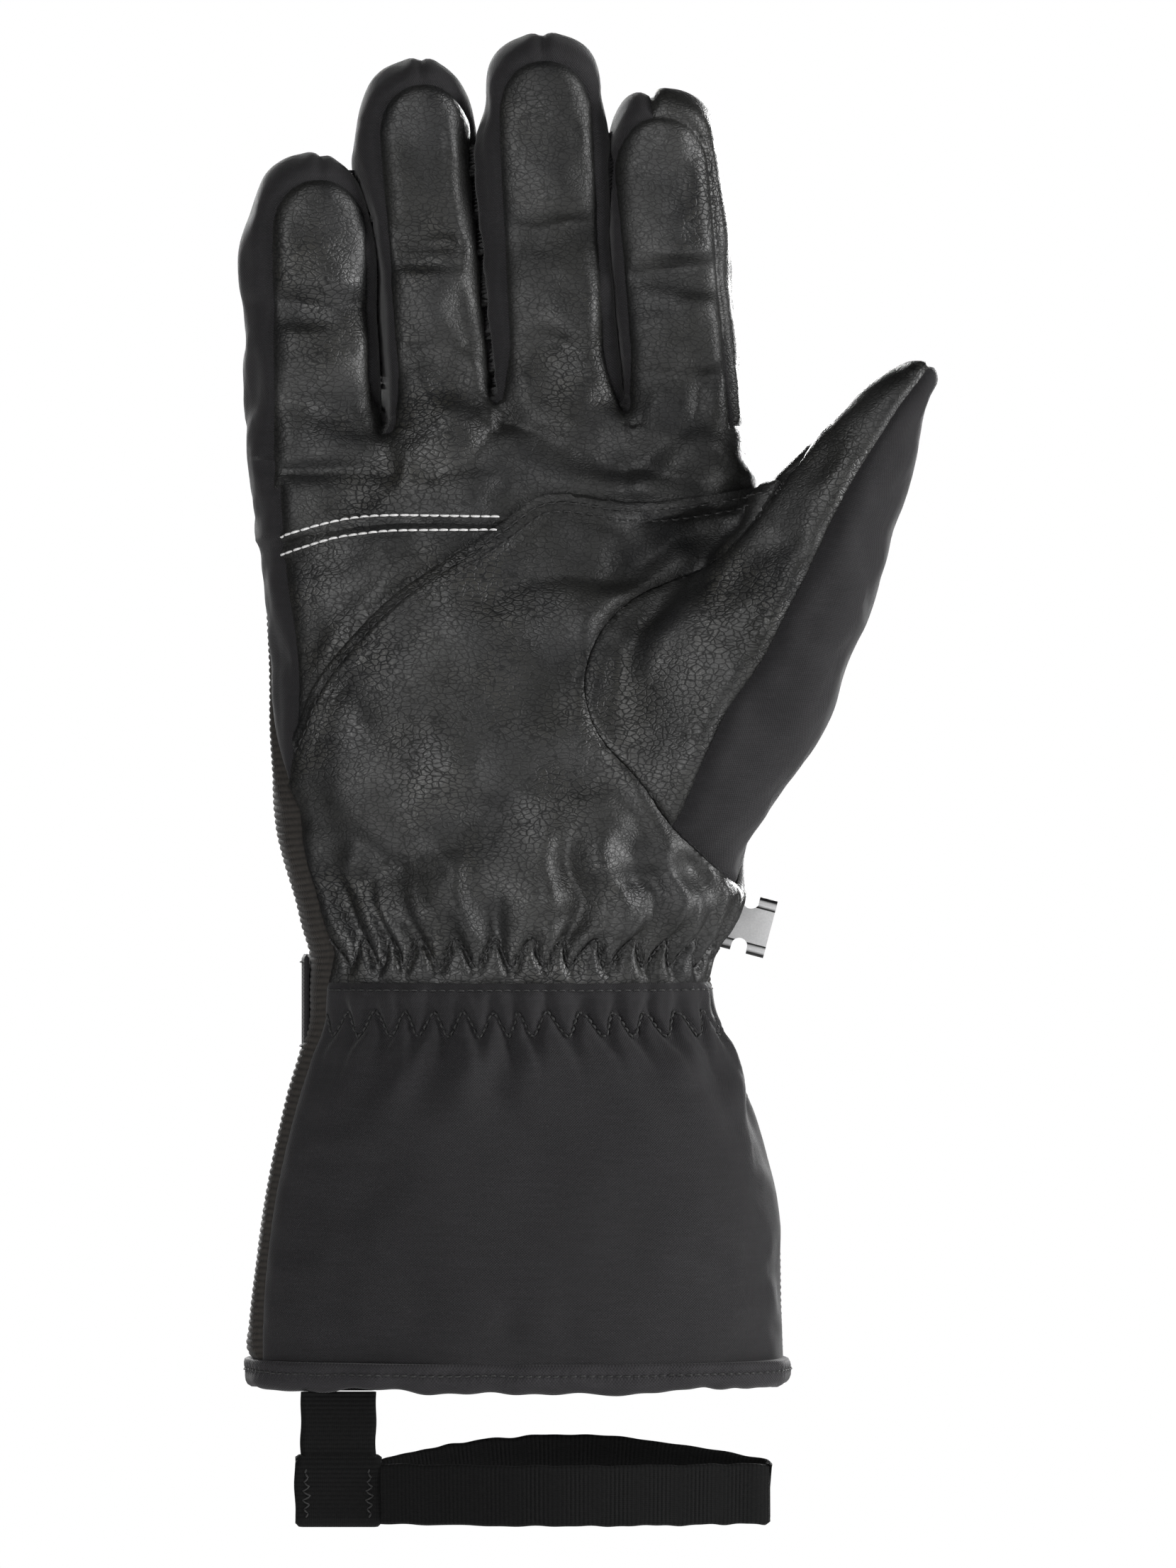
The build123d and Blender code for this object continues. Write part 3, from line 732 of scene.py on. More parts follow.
def finger_folds(p, owner):
    """Dents at the finger joints and small puckers."""
    total = np.zeros(len(p))
    for i, name in enumerate(FINGERS):
        m = owner == i
        if not m.any():
            continue
        f = FINGER[name]
        q = p[m]
        s, u, v = f.local(q)
        front = np.clip(-v / 6, 0, 1)
        inner = np.clip(1.15 - np.abs(u) / f.half, 0, 1)
        wobble = (0.5 if name == "ring" else 1.0) * waves(q * np.array([1, 0.4, 0.6]), 18, 30 + i)
        bend = s - f.middle_s
        dent = -1.9 * bump(bend - wobble, 3.4) - 0.7 * bump(bend - 1.2 * wobble - 1.0, 1.1)
        dent += 0.9 * bump(bend - 8, 5.0) + 0.8 * bump(bend + 8, 5.0)
        if name in ("ring", "middle"):
            second = -1.4 * bump(s - 2.0 - wobble * 1.5, 3.2)
        else:
            second = -0.9 * bump(s + 1 - wobble, 3.4)
        ripple = 0.32 * waves(q * np.array([0.25, 0.3, 1.0]), 5.0, 50 + i) * bump(bend, 11)
        left, right = finger_edges(f, s)
        tip_seam = u - (left + right) / 2 - (0 if name != "index" else -1.6 - (left + right) / 2)
        on_tip = np.clip((s - f.length + 7.6) / 1.4, 0, 1)
        on_tip = on_tip * (0.25 if name == "index" else 1)
        total_seam = on_tip * (0.35 * bump(np.abs(tip_seam) - 2.6, 1.6) - 0.55 * bump(tip_seam, 0.8))
        back = np.clip(v / 6, 0, 1)
        wrinkle = 0.45 * waves(q * np.array([0.25, 0.3, 1.0]), 8.0, 60 + i) * (bump(bend, 9) + bump(s, 9))
        total[m] = front * inner * (dent + second + ripple) + back * (wrinkle + 0.3 * bump(bend, 8))
        total[m] += total_seam
    return total


def thumb_folds(p):
    angle, _, s = thumb_angle(p)
    crease = -0.7 * bump(s - 58 - 3 * np.sin(angle), 3.0) * np.clip(np.cos(angle + 0.6), 0, 1)
    crease += 0.35 * waves(p * np.array([1, 1, 0.5]), 22, 71)
    return crease


def soft_noise(p):
    big = 0.55 * waves(p * np.array([1, 0.6, 1]), 62, 2) + 0.22 * waves(p, 24, 3)
    cuff = np.clip((84 - p[:, 2]) / 20, 0, 1)
    slack = 0.7 * waves(p * np.array([1.2, 0.5, 0.55]), 46, 4)
    return big * 0.6 + cuff * slack


# Creases of the palm: points as x and z, width and depth.
CREASES = [
    (((-16, 243), (-8, 237), (0, 233), (11, 228.5), (29, 222.5), (46, 219)), 3.4, 1.9),
    (((-60, 223), (-50, 221), (-38, 223), (-30, 221)), 2.6, 1.7),
    (((24, 153), (8, 143), (-11, 135), (-28, 128), (-42, 121)), 6.0, 1.9),
    (((50, 128), (36, 124), (20, 119.5), (8, 111)), 3.6, 1.6),
    (((14, 172), (4, 166), (-8, 150), (-14, 139)), 7.0, 1.1),
    (((21, 197), (9, 199), (-6, 193)), 5.0, 1.5),
    (((46, 240), (40, 231), (30, 226)), 3.2, 1.4),
    (((-32, 226), (-38, 216), (-46, 212)), 5.0, 0.9),
    (((-4, 236), (-9, 226), (-18, 219)), 3.6, 1.2),
    (((48, 210), (38, 204), (30, 198)), 6.0, 2.6),
    (((-56, 176), (-40, 166), (-26, 150)), 5.0, 0.9),
    (((-50, 137), (-36, 133), (-22, 124)), 3.2, 1.1),
]


def crease_lines(p):
    """Long creases, each with the padding raised on both sides."""
    total = np.zeros(len(p))
    wander = np.stack([waves(p, 15, 61), np.zeros(len(p)), waves(p, 17, 62)], 1)
    for points, width, depth in CREASES:
        line = rounded(np.array(points, float))
        d = np.abs(line_distance(p + wander, line))
        total += -depth * np.exp(-((d / width) ** 1.7)) + 0.42 * depth * bump(d - 2.1 * width, 1.1 * width)
    return total


def palm_dents(p):
    """Hollows where the palm bends below the fingers."""
    x, z = p[:, 0], p[:, 2]
    front = np.clip(-p[:, 1] / 8, 0, 1)
    out = (-1.0 * bump(np.hypot((x + 48) / 1.6, z - 222), 5)
           - 0.8 * bump(np.hypot((x + 8) / 2.0, z - 226 - 0.1 * x), 5))
    out += (-0.9 * bump(np.hypot((x - 30) / 2.0, z - 227), 4.5)
            + 0.8 * bump(np.hypot((x + 18) / 1.5, z - 236), 7))
    out += (1.2 * bump(np.hypot((x + 20) / 1.6, (z - 158) / 1.3), 20)
            - 1.0 * bump(np.hypot((x - 4), (z - 178) / 1.4), 16))
    return front * (out + crease_lines(p))


def smooth_displacement(p, owner, is_thumb):
    h = soft_noise(p)
    h += np.where(is_thumb, 0, gather_folds(p))
    h += finger_folds(p, owner)
    h += np.where(is_thumb, thumb_folds(p), palm_dents(p))
    return h


def seam_groove(d, depth=0.95, width=1.0):
    """Height beside a seam at distance d: a groove with the padding swelling beside it."""
    return -depth * np.exp(-((d / width) ** 1.6)) + 0.42 * np.exp(-(((d - 3.6) / 2.6) ** 2))


# ---------------------------------------------------------------- mesh helpers

MATERIAL = {}


def mesh_object(name, verts, groups, material, sharp_pairs=None, vectors=None):
    """A Blender mesh from vertices in millimetres and arrays of faces."""
    me = bpy.data.meshes.new(name)
    me.vertices.add(len(verts))
    me.vertices.foreach_set("co", (np.asarray(verts, np.float64) / MM).astype(np.float32).ravel())
    loops = np.concatenate([g.ravel() for g in groups])
    sizes = np.concatenate([np.full(len(g), g.shape[1]) for g in groups])
    me.loops.add(len(loops))
    me.loops.foreach_set("vertex_index", loops.astype(np.int32))
    me.polygons.add(len(sizes))
    me.polygons.foreach_set("loop_start", np.concatenate([[0], np.cumsum(sizes)[:-1]]).astype(np.int32))
    me.update(calc_edges=True)
    me.polygons.foreach_set("use_smooth", np.ones(len(sizes), bool))
    if sharp_pairs is not None and len(sharp_pairs):
        edges = np.empty(len(me.edges) * 2, np.int32)
        me.edges.foreach_get("vertices", edges)
        edges = np.sort(edges.reshape(-1, 2), 1).astype(np.int64)
        code = edges[:, 0] * len(verts) + edges[:, 1]
        pairs = np.sort(np.asarray(sharp_pairs), 1).astype(np.int64)
        wanted = pairs[:, 0] * len(verts) + pairs[:, 1]
        flags = np.isin(code, wanted)
        attribute = me.attributes.new("sharp_edge", "BOOLEAN", "EDGE")
        attribute.data.foreach_set("value", flags)
    for key, data in (vectors or {}).items():
        attribute = me.attributes.new(key, "FLOAT_VECTOR", "POINT")
        attribute.data.foreach_set("vector", np.asarray(data, np.float32).ravel())
    me.materials.append(MATERIAL[material])
    me.validate()
    obj = bpy.data.objects.new(name, me)
    bpy.context.scene.collection.objects.link(obj)
    return obj


def boundary_edges(faces):
    """Directed edges that only one face uses."""
    k = faces.shape[1]
    edges = np.vstack([faces[:, [i, (i + 1) % k]] for i in range(k)])
    n = faces.max() + 1
    code = np.sort(edges, 1)
    code = code[:, 0].astype(np.int64) * n + code[:, 1]
    _, first, counts = np.unique(code, return_index=True, return_counts=True)
    return edges[first[counts == 1]]


def thick_sheet(name, verts, normals, faces, thickness, material, weave=None):
    """A closed panel: the given face, an inner face below it, and a wall round its edge."""
    rim = boundary_edges(faces)
    inner = verts - normals * thickness
    n = len(verts)
    walls = np.stack([rim[:, 1], rim[:, 0], rim[:, 0] + n, rim[:, 1] + n], 1)
    sharp = np.vstack([rim, rim + n])
    vectors = {"weave": np.vstack([weave, weave])} if weave is not None else None
    groups = [faces, faces[:, ::-1] + n, walls]
    return mesh_object(name, np.vstack([verts, inner]), groups, material, sharp, vectors)


def grid_faces(rows, columns, wrap=False):
    """Quads over a grid of points stored row by row."""
    c = columns if wrap else columns - 1
    i, j = np.meshgrid(np.arange(rows - 1), np.arange(c), indexing="ij")
    a = i * columns + j
    b = i * columns + (j + 1) % columns
    return np.stack([a, b, b + columns, a + columns], -1).reshape(-1, 4)


def vertex_normals(verts, faces):
    k = faces.shape[1]
    d1 = verts[faces[:, 1]] - verts[faces[:, 0]]
    d2 = verts[faces[:, 2]] - verts[faces[:, 0]]
    n = np.cross(d1, d2)
    if k == 4:
        n = np.cross(verts[faces[:, 2]] - verts[faces[:, 0]], verts[faces[:, 3]] - verts[faces[:, 1]])
    out = np.zeros_like(verts)
    for i in range(k):
        np.add.at(out, faces[:, i], n)
    return unit(out)


# ---------------------------------------------------------------- materials


class Nodes:
    """A short way to write a node material."""

    def __init__(self, name):
        self.material = bpy.data.materials.new(name)
        self.material.use_nodes = True
        self.tree = self.material.node_tree
        self.tree.nodes.clear()
        self.out = self.tree.nodes.new("ShaderNodeOutputMaterial")
        self.shader = self.tree.nodes.new("ShaderNodeBsdfPrincipled")
        self.link(self.shader.outputs["BSDF"], self.out.inputs["Surface"])
        MATERIAL[name] = self.material

    def link(self, a, b):
        self.tree.links.new(a, b)

    def put(self, socket, value):
        if hasattr(value, "links"):
            self.link(value, socket)
        else:
            socket.default_value = value

    def coords(self, scale=1.0, stretch=(1, 1, 1)):
        """Object position in millimetres times scale."""
        tex = self.tree.nodes.new("ShaderNodeTexCoord")
        mapping = self.tree.nodes.new("ShaderNodeMapping")
        mapping.inputs["Scale"].default_value = [MM * scale * k for k in stretch]
        self.link(tex.outputs["Object"], mapping.inputs["Vector"])
        return mapping.outputs["Vector"]

    def noise(self, vector, scale=1.0, detail=3.0, rough=0.5, distort=0.0):
        node = self.tree.nodes.new("ShaderNodeTexNoise")
        self.link(vector, node.inputs["Vector"])
        for key, value in (("Scale", scale), ("Detail", detail), ("Roughness", rough),
                           ("Distortion", distort)):
            node.inputs[key].default_value = value
        return node.outputs["Fac"]

    def noise_vector(self, vector, scale, amount):
        node = self.tree.nodes.new("ShaderNodeTexNoise")
        self.link(vector, node.inputs["Vector"])
        node.inputs["Scale"].default_value = scale
        shift = self.tree.nodes.new("ShaderNodeVectorMath")
        shift.operation = "MULTIPLY_ADD"
        self.link(node.outputs["Color"], shift.inputs[0])
        shift.inputs[1].default_value = (amount, amount, amount)
        self.link(vector, shift.inputs[2])
        return shift.outputs["Vector"]

    def cells(self, vector, scale=1.0):
        node = self.tree.nodes.new("ShaderNodeTexVoronoi")
        node.feature = "DISTANCE_TO_EDGE"
        self.link(vector, node.inputs["Vector"])
        node.inputs["Scale"].default_value = scale
        return node.outputs["Distance"]

    def math(self, op, a, b=0.0, c=None):
        node = self.tree.nodes.new("ShaderNodeMath")
        node.operation = op
        self.put(node.inputs[0], a)
        self.put(node.inputs[1], b)
        if c is not None:
            self.put(node.inputs[2], c)
        return node.outputs[0]

    def ramp(self, value, low, high, to_low=0.0, to_high=1.0):
        node = self.tree.nodes.new("ShaderNodeMapRange")
        node.clamp = True
        self.put(node.inputs["Value"], value)
        for key, v in (("From Min", low), ("From Max", high), ("To Min", to_low), ("To Max", to_high)):
            node.inputs[key].default_value = v
        return node.outputs[0]

    def mix(self, factor, a, b):
        node = self.tree.nodes.new("ShaderNodeMix")
        node.data_type = "RGBA"
        self.put(node.inputs["Factor"], factor)
        self.put(node.inputs["A"], a)
        self.put(node.inputs["B"], b)
        return node.outputs["Result"]

    def weave(self):
        """The cloth's own coordinates, in millimetres: across, along."""
        node = self.tree.nodes.new("ShaderNodeAttribute")
        node.attribute_name = "weave"
        split = self.tree.nodes.new("ShaderNodeSeparateXYZ")
        self.link(node.outputs["Vector"], split.inputs[0])
        return split.outputs[0], split.outputs[1]

    def bump(self, height, strength, distance):
        node = self.tree.nodes.new("ShaderNodeBump")
        node.inputs["Strength"].default_value = strength
        node.inputs["Distance"].default_value = distance / MM
        self.link(height, node.inputs["Height"])
        self.link(node.outputs["Normal"], self.shader.inputs["Normal"])

    def finish(self, color, rough, specular=0.5, sheen=0.0, sheen_rough=0.5, metallic=0.0):
        self.put(self.shader.inputs["Base Color"], color)
        self.put(self.shader.inputs["Roughness"], rough)
        self.shader.inputs["Specular IOR Level"].default_value = specular
        self.shader.inputs["Sheen Weight"].default_value = sheen
        self.shader.inputs["Sheen Roughness"].default_value = sheen_rough
        self.shader.inputs["Metallic"].default_value = metallic
        return self.material


def grey(value, warm=0.0):
    return (value * (1 + warm), value, value * (1 - warm), 1.0)


def plum(value):
    return (value * 1.01, value * 0.955, value * 1.06, 1.0)


def leather_material():
    n = Nodes("leather")
    place = n.coords(1.0)
    warped = n.noise_vector(n.coords(1.0, (0.80, 1.0, 1.28)), 0.30, 1.7)
    coarse = n.cells(warped, 0.66)
    fine = n.cells(warped, 1.15)
    patch = n.ramp(n.noise(place, 0.035, 2.0), 0.44, 0.60)
    crack = n.ramp(coarse, 0.0, 0.16)
    pebble = n.ramp(fine, 0.0, 0.30)
    grain = n.math("ADD", n.math("MULTIPLY", crack, n.math("MULTIPLY_ADD", patch, 0.6, 0.4)),
                   n.math("MULTIPLY", pebble, 0.55))
    tone = n.noise(place, 0.06, 3.0)
    base = n.mix(n.ramp(tone, 0.35, 0.65), (0.0070, 0.0072, 0.0076, 1), (0.0130, 0.0130, 0.0120, 1))
    # Grain cells in random patches get a lighter olive base: partly wear, partly a painted highlight.
    worn_and_highlight = n.math("MULTIPLY", n.ramp(grain, 0.75, 1.35), n.ramp(n.noise(place, 0.09, 3.0), 0.42, 0.62))
    base = n.mix(n.math("MULTIPLY", worn_and_highlight, 0.55), base, (0.046, 0.044, 0.037, 1))
    base = n.mix(n.ramp(crack, 0.0, 0.55, 0.55, 0.0), base, (0.004, 0.004, 0.004, 1))
    rough = n.math("ADD", n.ramp(n.noise(place, 0.15, 3.0), 0.3, 0.7, 0.33, 0.43),
                   n.ramp(grain, 0.3, 1.2, 0.16, 0.0))
    height = n.math("ADD", grain, n.math("MULTIPLY", n.noise(place, 1.6, 2.0), 0.20))
    n.bump(height, 0.42, 0.17)
    n.finish(base, rough)
    split = n.ramp(coarse, 0.0, 0.11, 1.0, 0.0)
    shine = n.math("SUBTRACT", 1.0, n.math("MULTIPLY", split, n.math("MULTIPLY_ADD", patch, 0.32, 0.38)))
    stretch = n.ramp(n.noise(n.coords(1.0, (1.0, 1.0, 0.8)), 0.045, 2.0), 0.36, 0.64, 0.62, 1.15)
    n.put(n.shader.inputs["Specular IOR Level"], n.math("MULTIPLY", n.math("MULTIPLY", shine, stretch), 0.70))
    return n.material


def woven_material(name="woven", dark=0.0095, light=0.0185, pitch=0.62):
    n = Nodes(name)
    across, along = n.weave()
    k = 2 * math.pi / pitch
    warp = n.math("SINE", n.math("MULTIPLY", across, k))
    weft = n.math("SINE", n.math("MULTIPLY", along, k))
    check = n.math("MULTIPLY", warp, weft)
    place = n.coords(1.0)
    speck = n.ramp(n.noise(place, 2.4, 1.0), 0.66, 0.78)
    streak = n.noise(n.coords(1.0, (0.25, 0.25, 2.2)), 0.6, 2.0)
    tone = n.math("ADD", n.math("MULTIPLY", check, 0.22), n.math("MULTIPLY", streak, 0.5))
    base = n.mix(n.ramp(tone, 0.0, 0.6), plum(dark), plum(light))
    base = n.mix(n.math("MULTIPLY", speck, 0.30), base, plum(light * 2.6))
    n.bump(n.math("ADD", check, n.math("MULTIPLY", n.noise(place, 1.6, 2.0), 0.8)), 0.55, 0.10)
    return n.finish(base, n.ramp(check, -1, 1, 0.80, 0.68), specular=0.26, sheen=0.14, sheen_rough=0.45)


RIB_PITCH = 1.6


def ribbed_material():
    n = Nodes("ribbed")
    across, along = n.weave()
    rib = n.math("ABSOLUTE", n.math("SINE", n.math("MULTIPLY", along, math.pi / RIB_PITCH)))
    yarn = n.math("SINE", n.math("MULTIPLY", across, 2 * math.pi / 0.75))
    place = n.coords(1.0)
    tone = n.math("ADD", n.math("MULTIPLY", rib, 0.55), n.math("MULTIPLY", n.noise(place, 0.8, 3.0), 0.5))
    base = n.mix(n.ramp(tone, 0.15, 1.0), (0.0080, 0.0070, 0.0062, 1), (0.0330, 0.0285, 0.0245, 1))
    n.bump(n.math("ADD", n.math("MULTIPLY", yarn, 0.5), n.noise(place, 2.2, 2.0)), 0.5, 0.14)
    return n.finish(base, 0.78, specular=0.28, sheen=0.12)


def webbing_material(name, dark=0.0026, light=0.0075):
    n = Nodes(name)
    across, along = n.weave()
    rib = n.math("ABSOLUTE", n.math("SINE", n.math("MULTIPLY", along, math.pi / 1.05)))
    yarn = n.math("SINE", n.math("MULTIPLY", across, 2 * math.pi / 0.5))
    place = n.coords(1.0)
    mottled = n.noise(place, 1.3, 3.0)
    tone = n.math("ADD", n.math("MULTIPLY", rib, 0.6), n.math("MULTIPLY", mottled, 0.5))
    base = n.mix(n.ramp(tone, 0.2, 1.0), grey(dark, -0.05), grey(light, 0.0))
    fuzz = n.math("ADD", n.math("MULTIPLY", yarn, 0.25), mottled)
    n.bump(n.math("ADD", n.math("MULTIPLY", rib, 0.8), fuzz), 0.6, 0.20)
    return n.finish(base, 0.82, specular=0.12, sheen=0.02)


def thread_material(name, dark, light, warm=0.0):
    n = Nodes(name)
    place = n.coords(1.0)
    twist = n.noise(place, 4.0, 2.0)
    base = n.mix(n.ramp(twist, 0.3, 0.7), grey(dark, warm), grey(light, warm))
    n.bump(twist, 0.5, 0.08)
    return n.finish(base, 0.5, specular=0.45, sheen=0.1)


def fleece_material():
    n = Nodes("fleece")
    place = n.coords(1.0)
    fluff = n.noise(n.noise_vector(place, 0.8, 1.2), 1.1, 5.0, 0.7)
    base = n.mix(n.ramp(fluff, 0.3, 0.7), grey(0.008, -0.03), grey(0.030, -0.03))
    n.bump(fluff, 0.9, 0.5)
    return n.finish(base, 0.95, specular=0.1, sheen=0.35)


def wadding_material():
    n = Nodes("wadding")
    place = n.coords(1.0)
    fluff = n.noise(n.noise_vector(place, 0.5, 2.0), 0.8, 6.0, 0.7)
    base = n.mix(n.ramp(fluff, 0.3, 0.7), (0.55, 0.55, 0.53, 1), (0.85, 0.85, 0.83, 1))
    n.bump(fluff, 0.9, 0.6)
    return n.finish(base, 0.95, specular=0.1, sheen=0.3)


def film_material():
    n = Nodes("film")
    place = n.coords(1.0)
    wrinkle = n.noise(place, 0.35, 4.0, 0.6, 1.2)
    base = n.mix(wrinkle, (0.55, 0.58, 0.62, 1), (0.75, 0.77, 0.80, 1))
    n.bump(wrinkle, 0.6, 0.5)
    return n.finish(base, 0.35, specular=0.5)


def clip_material():
    n = Nodes("clip_plastic")
    place = n.coords(1.0)
    speckle = n.noise(place, 1.8, 4.0, 0.7)
    cloud = n.noise(place, 0.15, 2.0)
    base = n.mix(n.ramp(cloud, 0.35, 0.65), (0.70, 0.70, 0.705, 1), (0.80, 0.80, 0.805, 1))
    base = n.mix(n.ramp(speckle, 0.35, 0.7, 0.0, 0.25), base, (0.27, 0.27, 0.28, 1))
    # Faces that look along y, to the front and back, get the light grey base above as a painted reflection on
    # the black plastic; the other faces keep its own near-black.
    facing = n.tree.nodes.new("ShaderNodeNewGeometry")
    parts = n.tree.nodes.new("ShaderNodeSeparateXYZ")
    n.link(facing.outputs["Normal"], parts.inputs[0])
    flat = n.ramp(n.math("ABSOLUTE", parts.outputs[1]), 0.80, 0.97)
    base = n.mix(flat, (0.012, 0.012, 0.013, 1), base)
    n.bump(speckle, 0.25, 0.08)
    return n.finish(base, n.ramp(speckle, 0.3, 0.7, 0.34, 0.46), specular=0.55, metallic=0.10)


def elastic_material():
    n = Nodes("elastic")
    _, along = n.weave()
    rib = n.math("ABSOLUTE", n.math("SINE", n.math("MULTIPLY", along, math.pi / 0.9)))
    n.bump(rib, 0.6, 0.2)
    return n.finish(n.mix(rib, grey(0.20), grey(0.42)), 0.7, specular=0.3)


def make_materials():
    leather_material()
    woven_material()
    woven_material("binding", 0.0150, 0.0260, 0.8)
    woven_material("strap_face", 0.0085, 0.0150, 0.9)
    woven_material("hook_tape", 0.0070, 0.0150, 1.1)
    ribbed_material()
    webbing_material("webbing")
    thread_material("black_thread", 0.0060, 0.0240)
    thread_material("white_thread", 0.62, 0.86, 0.01)
    fleece_material()
    wadding_material()
    film_material()
    clip_material()
    elastic_material()


# ---------------------------------------------------------------- the outer skin


def finger_level(p, owner):
    """0 for the hand, 1 for a finger's lower piece, 2 for its upper piece."""
    level = np.zeros(len(p), int)
    for i, name in enumerate(FINGERS):
        m = owner == i
        if m.any():
            s = FINGER[name].local(p[m])[0]
            base, tip = FINGER[name].level_starts()
            level[m] = np.where(s > tip, 2, np.where(s > base, 1, 0))
    return level


def level_cut_field(p, owner, which):
    """Positive beyond the start of each finger's lower (1) or upper (2) piece."""
    field = np.full(len(p), -5.0)
    for i, name in enumerate(FINGERS):
        m = owner == i
        if m.any():
            field[m] = FINGER[name].local(p[m])[0] - FINGER[name].level_starts()[which - 1]
    return field


def cloth_labels(p):
    """The cloth panel that each point lies on, and the piece it is part of."""
    owner = finger_owner(p)
    level = finger_level(p, owner)
    thumb = thumb_field(p) > 0
    back = back_field(p) > 0
    leather = palm_leather_field(p) > 0
    side = index_side_field(p) > 0
    z = p[:, 2]
    cloth = np.full(len(p), "woven_side", dtype="U20")
    piece = np.full(len(p), "finger_gussets", dtype="U28")
    gusset = (p[:, 0] < -40) & (level == 0) & (p[:, 1] < 6) & (z > 120)
    piece[gusset] = "little_side_gusset"
    cloth[leather] = "palm_upper"
    piece[leather] = "palm_upper"
    over = (line_distance(p, OVERLAY) > 0) & leather
    cloth[over], piece[over] = "palm_heel", "palm_heel"
    low = leather & ~over & (line_distance(p, WHITE_SEAM) > 0)
    cloth[low], piece[low] = "palm_side", "palm_side"
    strip = side & ~leather
    cloth[strip], piece[strip] = "index_side", "index_side_gusset"
    for i, name in enumerate(FINGERS):
        for k, part in ((1, "base"), (2, "tip")):
            m = (owner == i) & (level == k) & ~thumb
            soft = leather | strip
            piece[m & soft] = f"{name}_{part}_leather"
            piece[m & ~soft] = f"{name}_{part}_fabric"
    cuff = (z < SEAM_Z) & ~back
    cloth[cuff], piece[cuff] = "cuff_front", "cuff_front_panel"
    wrist = (z >= SEAM_Z) & ~back & ~leather & (z < 150) & (level == 0)
    right = wrist & (p[:, 0] > 0)
    cloth[right], piece[right] = "palm_heel", "palm_heel"
    ribbed = back & (z < KNUCKLE_SEAM_Z) & (np.abs(hand_sdf(p)) < 1.2)
    cloth[ribbed], piece[ribbed] = "ribbed", "ribbed"
    inner = thumb & (thumb_leather_field(p) > 0)
    cloth[thumb], piece[thumb] = "thumb_fabric", "thumb_fabric"
    cloth[inner], piece[inner] = "thumb_leather", "thumb_leather"
    return cloth, piece


def make_skin_mesh():
    low, high = np.array([-72.0, -46.0, -7.0]), np.array([106.0, 36.0, 331.0])
    verts, quads = surface_nets(glove_sdf, low, high, GRID)
    verts = project(verts, rounds=2)
    verts = relax(verts, quads, 2, 0.4)
    verts = project(verts, rounds=2)
    tris = np.vstack([quads[:, [0, 1, 2]], quads[:, [0, 2, 3]]])
    near_fingers = lambda v: v[:, 2] > 225

    def slice_by(field, where):
        nonlocal verts, tris
        mask = where(verts)
        value = np.full(len(verts), 9.0)
        value[mask] = field(verts[mask])
        verts, tris = cut_mesh(verts, tris, value, mask)

    slice_by(lambda p: p[:, 2] - (HEM_TOP - 1.6), lambda v: v[:, 2] < 20)
    slice_by(lambda p: p[:, 2] - SEAM_Z, lambda v: (v[:, 2] > 80) & (v[:, 2] < 115))
    slice_by(back_field, lambda v: (v[:, 2] < 232))
    slice_by(lambda p: p[:, 2] - KNUCKLE_SEAM_Z, lambda v: (v[:, 2] > 210) & (v[:, 2] < 235) & (v[:, 1] > -2))
    slice_by(thumb_field, lambda v: (v[:, 0] > 5) & (v[:, 2] > 100) & (v[:, 2] < 235))
    slice_by(thumb_leather_field,
             lambda v: (v[:, 0] > 15) & (v[:, 2] > 120) & (v[:, 2] < 255) & (thumb_field(v) > -1))
    slice_by(palm_leather_field, lambda v: (v[:, 2] > 110) & (v[:, 1] < 6))
    slice_by(lambda p: line_distance(p, OVERLAY),
             lambda v: (v[:, 2] > 125) & (v[:, 2] < 226) & (v[:, 1] < -2))
    slice_by(lambda p: line_distance(p, WHITE_SEAM),
             lambda v: (v[:, 2] > 192) & (v[:, 2] < 216) & (v[:, 0] < 6) & (v[:, 1] < -2))
    slice_by(index_side_field, lambda v: (v[:, 0] > 28) & (v[:, 2] > 200))
    for which in (1, 2):
        slice_by(lambda p: level_cut_field(p, finger_owner(p), which), near_fingers)
    return verts, tris


def point_tree(points):
    tree = KDTree(len(points))
    for i, point in enumerate(points):
        tree.insert(point, i)
    tree.balance()
    return tree


def seam_distance(verts, points):
    """Distance from each vertex to the nearest of the points."""
    tree = point_tree(points)
    return np.array([tree.find(v)[2] for v in verts])


def weave_coordinates(p, owner, is_thumb):
    """Coordinates across and along the cloth, in millimetres."""
    left, right, _, _ = lookup(PROFILE_T, p[:, 2])
    centre = (left + right) / 2
    arc = np.arctan2(p[:, 0] - centre, -p[:, 1] * 2.0)
    across, along = arc * 52, p[:, 2].copy()
    for i, name in enumerate(FINGERS):
        m = (owner == i) & (p[:, 2] > 225)
        if m.any():
            s, u, v = FINGER[name].local(p[m])
            across[m], along[m] = np.arctan2(u, -v) * 14.0, s
    if is_thumb.any():
        angle, _, s = thumb_angle(p[is_thumb])
        across[is_thumb], along[is_thumb] = angle * 18.0, s
    return np.stack([across, along, np.zeros(len(p))], 1)


LAYERS = {  # cloth: material, sheet thickness, height above the padding
    "palm_upper": ("leather", 1.1, 0.0),
    "palm_side": ("leather", 1.1, 0.0),
    "palm_heel": ("leather", 1.3, 0.75),
    "index_side": ("leather", 1.1, 0.0),
    "thumb_leather": ("leather", 1.1, 0.0),
    "thumb_fabric": ("woven", 1.0, 0.0),
    "woven_side": ("woven", 1.0, 0.0),
    "cuff_front": ("woven", 1.0, 0.0),
}
SKIN = {}  # name: outer vertices in millimetres and triangles, for the stitches to lie on


